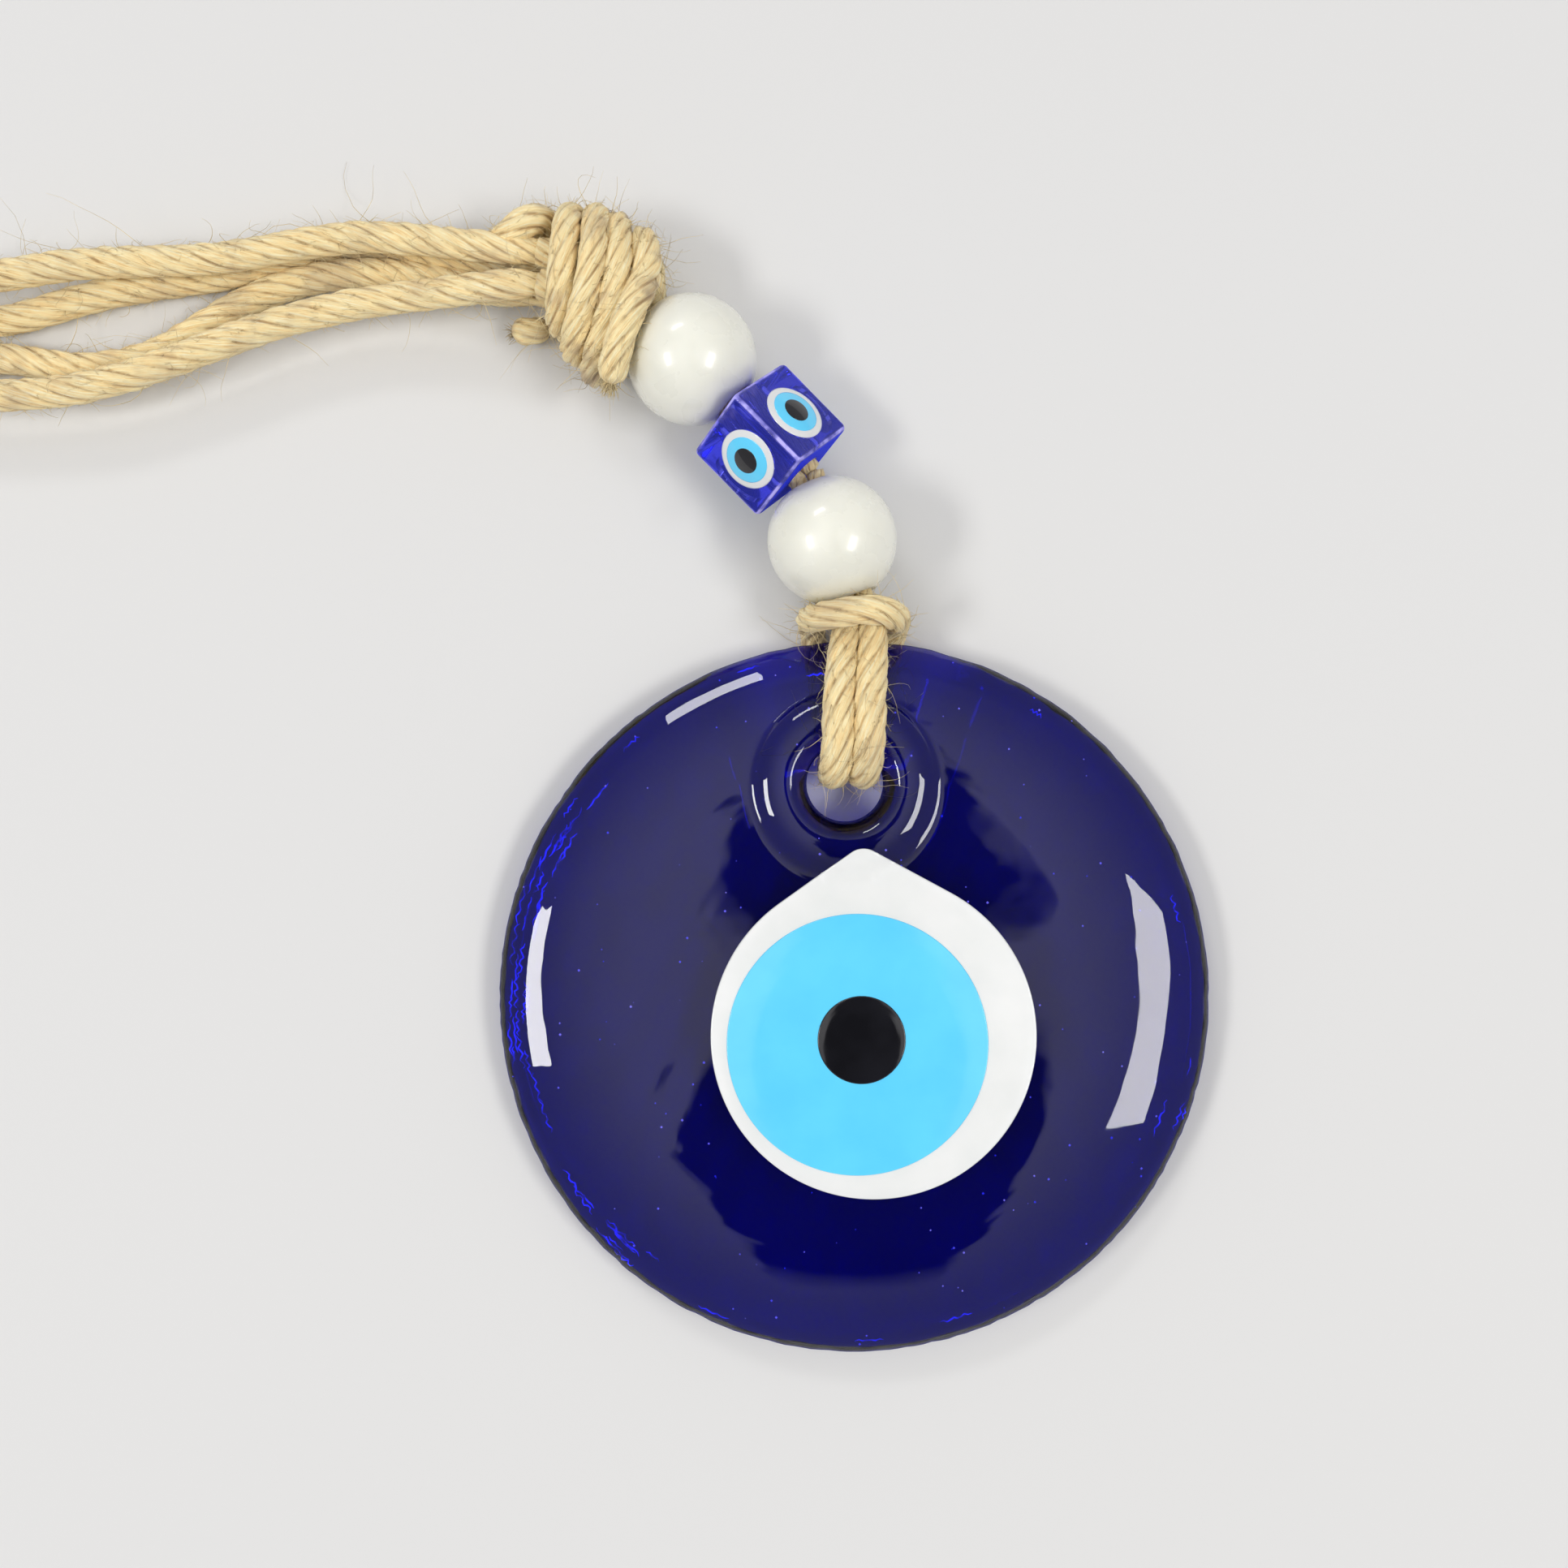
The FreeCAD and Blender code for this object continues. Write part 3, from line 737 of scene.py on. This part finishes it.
def tube(batch, path, sides):
    """Plain round tube along a path, with closed ends."""
    points, radius = path[:, :3], path[:, 3]
    along, side = transported_frames(points)
    other = np.cross(along, side)
    angle = np.arange(sides) * 2 * math.pi / sides
    around = spokes(angle[None, :], side[:, None], other[:, None])
    verts = (points[:, None] + around * radius[:, None, None]).reshape(-1, 3)
    last = (len(points) - 1) * sides
    faces = ring_faces(len(points), sides)
    faces.append(tuple(reversed(range(sides))))
    faces.append(tuple(range(last, last + sides)))
    batch.add(verts, faces, np.zeros(len(verts)), np.zeros((len(verts), 3)))


def add_hairs(batch, origin, direction, length, thickness, curl):
    """Loose fibres: thin tapering curled tubes from each origin."""
    count, steps, sides = len(origin), HAIR_STEPS, HAIR_SIDES
    place = origin.copy()
    heading = unit(direction)
    axis = unit(rng.normal(0, 1, (count, 3)))
    bend = rng.normal(0, curl, count)
    sections = []
    for i in range(steps + 1):
        u = unit(np.cross(heading, axis) + 1e-6)
        v = np.cross(heading, u)
        size = thickness * (1 - 0.7 * i / steps)
        for k in range(sides):
            a = 2 * math.pi * k / sides
            sections.append(place + (math.cos(a) * u + math.sin(a) * v) * size[:, None])
        turned = heading + np.cross(axis, heading) * (bend / steps)[:, None]
        heading = unit(turned + rng.normal(0, 0.10, (count, 3)))
        place = place + heading * (length / steps)[:, None]
        place[:, 2] = np.maximum(place[:, 2], HAIR_CLEAR)
    verts = np.stack(sections, 1)
    faces = []
    for h in range(count):
        base = h * (steps + 1) * sides
        for i in range(steps):
            for k in range(sides):
                a = base + i * sides
                n = (k + 1) % sides
                faces.append((a + k, a + n, a + sides + n, a + sides + k))
        faces.append((base + 2, base + 1, base))
        top = base + steps * sides
        faces.append((top, top + 1, top + 2))
    total = count * (steps + 1) * sides
    # Loose fibres stay out of the painted groove shade.
    pale = np.full(total, -0.6)
    run = rng.uniform(0, 900, total // sides).repeat(sides)
    where = np.column_stack((run, np.zeros(total), np.zeros(total)))
    batch.add(verts.reshape(-1, 3), faces, pale, where)


def fuzz(batch, cord, kinds):
    """Fibres of several kinds that stand off a cord."""
    points, along, side, other, radius = cord
    total = len(points)
    for per_mm, reach, curl, thickness, lift in kinds:
        count = int(per_mm * total * STEP)
        i = rng.integers(0, total, count)
        a = rng.uniform(0, 2 * math.pi, count)
        out = spokes(a, side[i], other[i])
        tangent = np.cross(along[i], out)
        origin = points[i] + out * (radius[i] * 0.85)[:, None]
        sign = rng.choice((-1, 1), count)[:, None]
        direction = along[i] * sign + out * rng.uniform(0.1, 2 * lift, count)[:, None]
        direction = direction + tangent * rng.normal(0.25, 0.4, count)[:, None] * sign
        length = reach * np.exp(rng.normal(0, 0.45, count))
        add_hairs(batch, origin, direction, length, thickness * rng.uniform(0.7, 1.25, count), curl)


def frayed_end(batch, cord, at_start, count, reach):
    """Brush of fibres where a cord is cut."""
    points, along, side, other, radius = cord
    i = 0 if at_start else -1
    out = -along[i] if at_start else along[i]
    a = rng.uniform(0, 2 * math.pi, count)
    r = radius[i] * np.sqrt(rng.uniform(0, 1, count))
    spread = spokes(a, side[i], other[i])
    origin = points[i] + spread * r[:, None] - out * 0.6
    direction = out + spread * (0.45 * r / radius[i])[:, None] + rng.normal(0, 0.15, (count, 3))
    length = reach * rng.uniform(0.5, 1.3, count)
    add_hairs(batch, origin, direction, length, np.full(count, 0.07), 0.8)


# Materials

def new_material(name):
    material = bpy.data.materials.new(name)
    material.use_nodes = True
    tree = material.node_tree
    return material, tree, tree.nodes["Principled BSDF"]


def fill(socket, value):
    """Sets an input to a value, or links it to another node's output."""
    if hasattr(value, "is_linked"):
        socket.id_data.links.new(value, socket)
    else:
        socket.default_value = value


def put(node, **values):
    """Fills a node's inputs, named with _ for each space."""
    for name, value in values.items():
        fill(node.inputs[name.replace("_", " ")], value)


def noise(tree, scale, detail=3.0, roughness=0.5, vector=None):
    node = tree.nodes.new("ShaderNodeTexNoise")
    if vector is None:
        vector = tree.nodes.new("ShaderNodeTexCoord").outputs["Object"]
    put(node, Scale=scale, Detail=detail, Roughness=roughness, Vector=vector)
    return node.outputs["Fac"]


def ramp(tree, value, stops):
    """Colour ramp from (position, colour) stops."""
    node = tree.nodes.new("ShaderNodeValToRGB")
    elements = node.color_ramp.elements
    while len(elements) < len(stops):
        elements.new(0.5)
    for element, (position, colour) in zip(elements, stops):
        element.position = position
        element.color = (*colour, 1)
    put(node, Fac=value)
    return node.outputs["Color"]


def mix(tree, factor, first, second, mode="MIX"):
    node = tree.nodes.new("ShaderNodeMix")
    node.data_type = "RGBA"
    node.blend_type = mode
    for socket, value in (("Factor", factor), ("A", first), ("B", second)):
        slot = [s for s in node.inputs if s.name == socket and s.enabled][0]
        fill(slot, (*value, 1) if isinstance(value, tuple) else value)
    return [s for s in node.outputs if s.enabled][0]


def scaled(tree, value, low, high, out_low, out_high):
    node = tree.nodes.new("ShaderNodeMapRange")
    put(node, Value=value, From_Min=low, From_Max=high, To_Min=out_low, To_Max=out_high)
    return node.outputs["Result"]


def maths(tree, operation, first, second):
    node = tree.nodes.new("ShaderNodeMath")
    node.operation = operation
    fill(node.inputs[0], first)
    fill(node.inputs[1], second)
    return node.outputs["Value"]


def product(tree, first, second):
    return maths(tree, "MULTIPLY", first, second)


def bump(tree, shader, height, strength, distance):
    node = tree.nodes.new("ShaderNodeBump")
    put(node, Strength=strength, Distance=distance, Height=height)
    put(shader, Normal=node.outputs["Normal"])


def vector_maths(tree, operation, first, second):
    node = tree.nodes.new("ShaderNodeVectorMath")
    node.operation = operation
    fill(node.inputs[0], first)
    fill(node.inputs[1], second)
    return node.outputs["Value" if operation == "DOT_PRODUCT" else "Vector"]


def painted_edge_highlight(tree, axes):
    """1 on the rounded edges of a block whose faces look along axes, 0 on its faces, broken up unevenly: the
    mask for a painted highlight.
    """
    normal = tree.nodes.new("ShaderNodeTexCoord").outputs["Normal"]
    flattest = None
    for axis in axes:
        size = maths(tree, "ABSOLUTE", vector_maths(tree, "DOT_PRODUCT", normal, axis), 0)
        flattest = size if flattest is None else maths(tree, "MAXIMUM", flattest, size)
    highlight_breakup = scaled(tree, noise(tree, 500, 2), 0.35, 0.6, 0.3, 1)
    return product(tree, scaled(tree, flattest, 0.985, 0.86, 0, 1), highlight_breakup)


def cobalt_glass(name, base, absorbed, density, wave, edge, cloud, axes=()):
    """Clear coloured glass: tinted at its surface and through its depth, with faint waves and smears."""
    material, tree, shader = new_material(name)
    tint = ramp(tree, noise(tree, 60, 2), [(0.3, base), (0.75, tuple(c * 0.86 for c in base))])
    smears = scaled(tree, noise(tree, 90, 4), 0.45, 0.75, 0.0, 0.05)
    put(shader, Base_Color=tint, Roughness=smears, Transmission_Weight=1, IOR=1.5)
    bump(tree, shader, noise(tree, 130, 2), wave, 0.0004)
    depth = tree.nodes.new("ShaderNodeVolumeAbsorption")
    put(depth, Color=(*absorbed, 1), Density=density)
    put(tree.nodes["Material Output"], Volume=depth.outputs["Volume"])
    deep_edge(tree, shader, edge, cloud, axes)
    return material


def deep_edge(tree, shader, colour, cloud, axes):
    """Glass seen edge-on keeps its deep colour instead of mirroring the pale room; cloud is how milky it is
    where it is seen face-on."""
    facing = tree.nodes.new("ShaderNodeLayerWeight")
    put(facing, Blend=0.5)
    edge = tree.nodes.new("ShaderNodeBsdfDiffuse")
    put(edge, Color=(*colour, 1))
    edge_highlight = None
    # On a block's rounded edges a pale violet diffuse colour is painted in: a painted highlight.
    if axes:
        edge_highlight = painted_edge_highlight(tree, axes)
        put(edge, Color=mix(tree, edge_highlight, colour, (0.50, 0.46, 1.0)))
    outside = scaled(tree, tree.nodes.new("ShaderNodeNewGeometry").outputs["Backfacing"], 0, 1, 1, 0)
    share = product(tree, scaled(tree, facing.outputs["Facing"], 0.55, 0.85, cloud, 0.92), outside)
    if edge_highlight is not None:
        share = maths(tree, "MAXIMUM", share, product(tree, edge_highlight, outside))
    join = tree.nodes.new("ShaderNodeMixShader")
    for socket, value in zip(join.inputs, (share, shader.outputs["BSDF"], edge.outputs["BSDF"])):
        fill(socket, value)
    put(tree.nodes["Material Output"], Surface=join.outputs["Shader"])


def fused_glass(name, base, shade, roughness, subsurface=0.0):
    """Opaque coloured glass with slight pooling of its colour and a fire-polished gloss."""
    material, tree, shader = new_material(name)
    colour = ramp(tree, noise(tree, 140, 3), [(0.35, base), (0.7, shade)])
    smears = scaled(tree, noise(tree, 300, 4), 0.3, 0.7, roughness, roughness * 1.8)
    put(shader, Base_Color=colour, Roughness=smears, IOR=1.5, Coat_Weight=0.4, Coat_Roughness=0.04)
    if subsurface:
        put(shader, Subsurface_Weight=subsurface, Subsurface_Radius=(1.0, 0.95, 0.85), Subsurface_Scale=0.003)
    bump(tree, shader, noise(tree, 220, 2), 0.08, 0.0003)
    return material


def attribute(tree, name):
    node = tree.nodes.new("ShaderNodeAttribute")
    node.attribute_name = name
    return node


def jute(name, stain):
    """Jute: pale golden fibres along the plies, with painted shade in the grooves and greyish stains."""
    material, tree, shader = new_material(name)
    stretched = vector_maths(tree, "MULTIPLY", attribute(tree, "fibre").outputs["Vector"], (0.32, 4.5, 4.5))
    strands = noise(tree, 1.0, 5, 0.65, stretched)
    colour = ramp(tree, strands, [(0.26, (0.68, 0.44, 0.18)), (0.40, (0.95, 0.70, 0.33)),
                                  (0.54, (1.0, 0.84, 0.46)), (0.72, (1.0, 0.94, 0.68))])
    # Painted shade in the grooves, from the groove depth, broken up unevenly.
    shadow = scaled(tree, attribute(tree, "groove_shade").outputs["Fac"], 0.40, 1.0, 0.0, 0.80)
    broken = scaled(tree, noise(tree, 420, 2), 0.36, 0.58, 0.15, 1.0)
    colour = mix(tree, product(tree, shadow, broken), colour, (0.36, 0.20, 0.07))
    patches = ramp(tree, noise(tree, 150, 3), [(0.52, (0, 0, 0)), (0.68, (stain, stain, stain))])
    colour = mix(tree, patches, colour, (0.40, 0.29, 0.19))
    put(shader, Base_Color=colour, Roughness=0.72, Specular_IOR_Level=0.3, Sheen_Weight=0.25,
        Sheen_Roughness=0.5)
    bump(tree, shader, strands, 0.8, 0.0003)
    return material


def glowing_seed_glass():
    """Tiny seeds and dust caught in the glass, drawn as blue-white specks that glow: real specks with a
    painted glint.
    """
    material, tree, shader = new_material("glass_seeds_painted_glow")
    colour = ramp(tree, noise(tree, 400, 2), [(0.4, (0.05, 0.08, 0.9)), (0.62, (0.7, 0.75, 1.0))])
    put(shader, Base_Color=colour, Roughness=0.25, Emission_Color=colour, Emission_Strength=0.8)
    return material


def painted_glint_glass():
    """Painted glints near the rim: glowing bright blue lines that stand for light coming through the rim."""
    material, tree, shader = new_material("painted_rim_glints")
    colour = ramp(tree, noise(tree, 500, 2), [(0.38, (0.0, 0.0, 0.25)), (0.6, (0.02, 0.03, 1.0))])
    put(shader, Base_Color=colour, Roughness=0.2, Emission_Color=colour, Emission_Strength=1.0)
    return material


def floor_material():
    material, _, shader = new_material("plain_floor")
    put(shader, Base_Color=(0.70, 0.70, 0.69, 1), Roughness=0.85)
    return material


BLUE = cobalt_glass("blue_glass", (0.22, 0.14, 0.86), (0.0, 0.0, 0.92), 880, 0.04,
                    (0.012, 0.012, 0.20), 0.0)
# The cube's face axes give it a painted highlight on its rounded edges.
CUBE_BLUE = cobalt_glass("cube_glass", (0.46, 0.48, 1.0), (0.10, 0.10, 0.93), 180, 0.10,
                         (0.03, 0.05, 0.85), 0.26, (UPPER_DIR, face_direction("a"), face_direction("b")))
WHITE = fused_glass("white_glass", (0.86, 0.87, 0.85), (0.80, 0.82, 0.80), 0.10, 0.15)
LIGHT_BLUE = fused_glass("light_blue_glass", (0.13, 0.68, 1.0), (0.11, 0.63, 0.98), 0.10)
BLACK = fused_glass("black_glass", (0.004, 0.004, 0.006), (0.010, 0.010, 0.014), 0.05)
MILK = fused_glass("milk_glass", (0.85, 0.85, 0.76), (0.79, 0.79, 0.70), 0.21, 0.5)
JUTE = jute("jute_cord", 0.35)
JUTE_KNOT = jute("jute_knot", 0.8)


def glass_pieces():
    """Everything made of glass, in place of its CAD nodes."""
    settle(glass_disc(BLUE), "blue_glass", "disc", "glass_disc")
    settle(eye_white_layer(WHITE), "white_glass", "disc", "eye_white")
    settle(eye_disc("eye_iris_layer", "eye_iris", LIGHT_BLUE), "light_blue_glass", "disc", "eye_iris")
    settle(eye_disc("eye_pupil_layer", "eye_pupil", BLACK), "black_glass", "disc", "eye_pupil")
    for place, centre, axis in (("lower", LOWER_BEAD_C, LOWER_DIR), ("upper", UPPER_BEAD_C, UPPER_DIR)):
        bead = milk_bead(f"milk_bead_{place}", centre, axis, MILK)
        settle(bead, "milk_glass", f"{place}_bead", f"white_bead_{place}")
    cube = frame["nodes"]["cube_bead"].data
    cube.materials.clear()
    cube.materials.append(CUBE_BLUE)
    for letter in "abcd":
        for layer, look, slot in (("white", WHITE, "white_glass"), ("iris", LIGHT_BLUE, "light_blue_glass"),
                                  ("pupil", BLACK, "black_glass")):
            settle(cube_eye_layer(letter, layer, look), slot, "cube", f"cube_eye_{letter}_{layer}")


def seeds():
    """Specks in the disc, more of them near the rim, which glow with a painted glint."""
    verts, faces = [], []
    octahedron = np.array(((1, 0, 0), (-1, 0, 0), (0, 1, 0), (0, -1, 0), (0, 0, 1), (0, 0, -1)), float)
    sides = ((0, 2, 4), (2, 1, 4), (1, 3, 4), (3, 0, 4), (2, 0, 5), (1, 2, 5), (3, 1, 5), (0, 3, 5))
    while len(faces) < SEEDS * len(sides):
        r = DISC_R * rng.uniform(0.2, 0.975) ** 0.6
        a = rng.uniform(0, 2 * math.pi)
        x, y = r * math.cos(a), r * math.sin(a)
        if from_hole(x, y) < HOLE_R + 1.5:
            continue
        centre = np.array((x, y, front_z(x, y) - rng.uniform(0.25, 0.9)))
        size = rng.uniform(0.07, 0.19)
        faces += [tuple(len(verts) + k for k in side) for side in sides]
        verts += list(centre + octahedron * size)
    settle(mesh_object("glass_seeds_painted_glow", np.array(verts), faces, glowing_seed_glass()), "blue_glass", "disc")


def glints():
    """Wavy glowing lines just under the surface near the rim, most of them on the left: painted glints."""
    batch = Batch()
    for i in range(GLINTS):
        middle = math.radians(rng.normal(183, 26) if i < GLINTS_LEFT else rng.uniform(0, 360))
        radius = rng.uniform(40.6, 43.9)
        half = rng.uniform(0.8, 3.2) / radius
        sway = rng.uniform(0.1, 0.35)
        phase = rng.uniform(0, 2 * math.pi)
        marks = []
        for t in np.linspace(-1, 1, 11):
            a = middle + half * t
            r = radius + sway * math.sin(9 * t + phase)
            x, y = r * math.cos(a), r * math.sin(a)
            marks.append((x, y, front_z(x, y) - 0.32, 0.13 * math.sqrt(1.05 - t * t)))
        tube(batch, curve_path(marks), 5)
    settle(batch.piece("painted_rim_glints", painted_glint_glass()), "blue_glass", "disc")


def hitch():
    """Lark's head hitch on the disc, with a short and a long fuzz."""
    batch = Batch()
    path = evened(strand_paths("hitch_cord")[0])
    cord = add_cord(batch, path, FULL_GAIN)
    fuzz(batch, cord, HITCH_FUZZ)
    settle(batch.piece("cord_hitch", JUTE), "jute", "hitch", "hitch_cord")


def paired_cord(name, start, end, nodes, bodies, blend_from=None, blend_to=None):
    """The two strands that pass through a bead side by side."""
    batch = Batch()
    across = unit(np.cross(end - start, UP))
    for sign in (-1, 1):
        offset = across * sign * (BORE_STRAND_R + BORE_CORD_CLEAR)
        marks = [(*(start + (end - start) * t + offset), BORE_STRAND_R) for t in (0, 0.5, 1)]
        cord = add_cord(batch, curve_path(marks), 1.0, sign, BORE_PITCH)
        fuzz(batch, cord, BORE_FUZZ)
    piece = batch.piece(name, JUTE)
    if blend_from is None:
        settle(piece, "jute", bodies[0], *nodes)
    else:
        settle_bending(piece, bodies, blend_from, blend_to, *nodes)


def bead_cords():
    """Stretches of cord from the hitch through the beads to the knot."""
    inside = BEAD_R - 0.4
    paired_cord("cord_neck", LOWER_BEAD_C - LOWER_DIR * 9.4, LOWER_BEAD_C - LOWER_DIR * 3, (),
                ("hitch", "lower_string"), LOWER_BEAD_C - LOWER_DIR * 9.4, LOWER_BEAD_C - LOWER_DIR * 7.4)
    paired_cord("cord_lower_bead", LOWER_BEAD_C - LOWER_DIR * inside, BEND_C, ("cord_in_lower_bead",),
                ("lower_string", "bend"), BEND_C - LOWER_DIR * 2.4, BEND_C)
    paired_cord("cord_cube", BEND_C, UPPER_BEAD_C - UPPER_DIR * (BEAD_R + 0.1),
                ("cord_in_cube", "cord_bend"), ("bend", "upper_string"), BEND_C, BEND_C + UPPER_DIR * 2.4)
    paired_cord("cord_upper_bead", UPPER_BEAD_C - UPPER_DIR * inside, UPPER_BEAD_C + UPPER_DIR * inside,
                ("cord_in_upper_bead",), ("top_string",))


def loops(outer, inner):
    """The two hanging loops. The bodies and the start and end (along X from the fold) of each go to
    settle_bending, which doesn't use them.
    """
    for node, path, bodies, start, end in (
        ("loop_outer", outer, ("knot", "loops"), 3.4, -5.5),
        ("loop_inner", inner, ("loops", "inner_loop"), 1.0, -11.0),
    ):
        batch = Batch()
        cord = add_cord(batch, evened(extended(path, 3, 3)), FULL_GAIN)
        fuzz(batch, cord, LOOP_FUZZ)
        piece = batch.piece(f"cord_{node}", JUTE)
        settle_bending(piece, bodies, FOLD_C + start * ALONG_X, FOLD_C + end * ALONG_X, node)


def shoulder(path):
    """Short strand at the knot's top corner, laid over to sink into the loops."""
    bottom, top = (path[-1], path[0]) if path[0, 2] > path[-1, 2] else (path[0], path[-1])
    steps = ((-1.1, -0.4, 0.3, 0.1), (-3.0, -1.8, 0, 0.1), (-5.8, -3.3, -1.6, 0))
    over = [top + np.array(step) for step in steps]
    return curve_path([bottom, (bottom + top) / 2, top - np.array((0, 0, 0.6, 0)), *over])


def knot_wraps():
    """Wraps of the big knot: one long helix, a short end with a frayed cut and a shoulder."""
    batch = Batch()
    for path in strand_paths("knot_wraps"):
        long_path = len(path) * STEP > LONG_WRAP
        if len(path) * STEP < SHORT_WRAP:
            path = shoulder(path)
        if MIDDLE_WRAP < len(path) * STEP < LONG_WRAP:
            from_top = path[0, 2] > path[-1, 2]
            path = extended(path, 2.0, 0) if from_top else extended(path, 0, 2.0)
        cord = add_cord(batch, evened(path), LONG_WRAP_GAIN if long_path else SHORT_WRAP_GAIN, domed=True)
        fuzz(batch, cord, WRAP_FUZZ)
        if not long_path and len(path) * STEP > MIDDLE_WRAP:
            frayed_end(batch, cord, path[0, 2] > path[-1, 2], 120, 2.0)
    settle(batch.piece("cord_knot_wraps", JUTE_KNOT), "jute", "knot", "knot_wraps")


def knot_heart(outer, inner):
    """The strands that pass from the upper bead through the knot to the loops."""
    mouth = UPPER_BEAD_C + unit(np.array((-0.839, 0.545, 0))) * (BEAD_R + 0.4)
    middle = middle_of("knot_core")
    batch = Batch()
    for root, entry in ((outer[0], 1.25), (outer[-1], -1.25), (inner[0], 1.1), (inner[-1], -1.1)):
        upper = root[2] > FOLD_C[2]
        lift = 1.7 if upper else -1.9
        start = mouth + np.array((0, entry, 0.4 if upper else -0.9))
        centre = middle + np.array((0, 1.6 * entry, lift))
        end = root[:3] + np.array((0.8, 0, 0))
        marks = [(*start, 1.15), (*((start + centre) / 2), 1.6), (*centre, 1.85), (*end, 1.85)]
        add_cord(batch, curve_path(marks), 1.0)
    settle(batch.piece("cord_knot_heart", JUTE_KNOT), "jute", "knot", "knot_core")


def knot_tail():
    """Cut end of the cord, which sticks out below the knot."""
    batch = Batch()
    path = strand_paths("knot_tail")[0]
    if path[0, 0] < path[-1, 0]:
        path = path[::-1]
    cord = add_cord(batch, path, FULL_GAIN, domed=True)
    fuzz(batch, cord, TAIL_FUZZ)
    frayed_end(batch, cord, False, 40, 1.5)
    settle(batch.piece("cord_tail", JUTE_KNOT), "jute", "knot", "knot_tail")


def area_light(name, place, target, width, height, power, colour):
    """Rectangular panel aimed at target: width level with the floor, height towards the zenith."""
    data = bpy.data.lights.new(name, "AREA")
    data.shape = "RECTANGLE"
    data.size = width
    data.size_y = height
    data.energy = power
    data.color = colour
    light = placed(name, data)
    light.location = place
    aim = np.array(target) - np.array(place)
    light.rotation_mode = "QUATERNION"
    light.rotation_quaternion = Vector(aim).to_track_quat("-Z", "Y")


def sky():
    """Pale surroundings, brighter overhead, with a dark band straight above where the camera hangs."""
    world = bpy.data.worlds.new("studio")
    bpy.context.scene.world = world
    world.use_nodes = True
    tree = world.node_tree
    direction = tree.nodes.new("ShaderNodeTexCoord").outputs["Generated"]
    split = tree.nodes.new("ShaderNodeSeparateXYZ")
    put(split, Vector=direction)
    x, y, z = split.outputs

    lean_x = maths(tree, "DIVIDE", x, z)
    lean_y = maths(tree, "DIVIDE", y, z)
    half = scaled(tree, lean_y, -0.27, -0.12, 0.145, 0.082)
    from_band = maths(tree, "ABSOLUTE", maths(tree, "SUBTRACT", lean_x, 0.05), 0)
    off_band = maths(tree, "SUBTRACT", from_band, half)
    wander = scaled(tree, noise(tree, 9, 3, 0.5, direction), 0.3, 0.7, -0.035, 0.035)
    beside = scaled(tree, maths(tree, "ADD", off_band, wander), -0.008, 0.012, 0.0, 1.0)
    beyond = scaled(tree, maths(tree, "ABSOLUTE", maths(tree, "ADD", lean_y, 0.1), 0), 0.45, 0.60, 0.0, 1.0)
    lit = scaled(tree, maths(tree, "MAXIMUM", beside, beyond), 0, 1, 0.06, 1.0)
    overhead = scaled(tree, maths(tree, "POWER", maths(tree, "MAXIMUM", z, 0), 8), 0, 1, 0.42, 1.20)
    put(tree.nodes["Background"], Color=(0.98, 0.97, 1.0, 1), Strength=product(tree, lit, overhead))


def studio():
    """Two side panels and a far one for the highlights, and a plain floor."""
    sky()
    warm = (1.0, 0.99, 0.97)
    area_light("panel_right", (0.56, -0.135, 0.80), (0.03, 0.0, 0.0), 0.43, 0.22, 3.6, warm)
    area_light("panel_left", (-0.70, -0.113, 0.80), (-0.03, 0.0, 0.0), 0.36, 0.18, 3.7, warm)
    area_light("panel_far", (-0.41, 0.84, 0.72), (0.0, 0.03, 0.0), 0.34, 0.14, 1.8, (1.0, 1.0, 1.0))
    mesh = bpy.data.meshes.new("floor")
    corners = ((-1, -1), (1, -1), (1, 1), (-1, 1))
    mesh.from_pydata([(FLOOR_HALF * x, FLOOR_HALF * y, FLOOR_Z) for x, y in corners], [], [(0, 1, 2, 3)])
    mesh.materials.append(floor_material())
    placed("floor", mesh)
    bpy.context.scene.view_settings.view_transform = "Standard"


def camera():
    """Straight down from arm's length, a little above and left of the disc's centre."""
    data = bpy.data.cameras.new("camera")
    data.sensor_width = 36
    data.lens = 36.2
    data.clip_start = 0.005
    data.clip_end = 20
    view = placed("camera", data)
    view.location = (*CAMERA_PLACE, EQUATOR_Z * MM + CAMERA_HEIGHT)
    bpy.context.scene.camera = view


glass_pieces()
seeds()
glints()
outer_path = loop_path("loop_outer", 12)
inner_path = loop_path("loop_inner", 12)
hitch()
bead_cords()
loops(outer_path, inner_path)
knot_wraps()
knot_heart(outer_path, inner_path)
knot_tail()
studio()
camera()
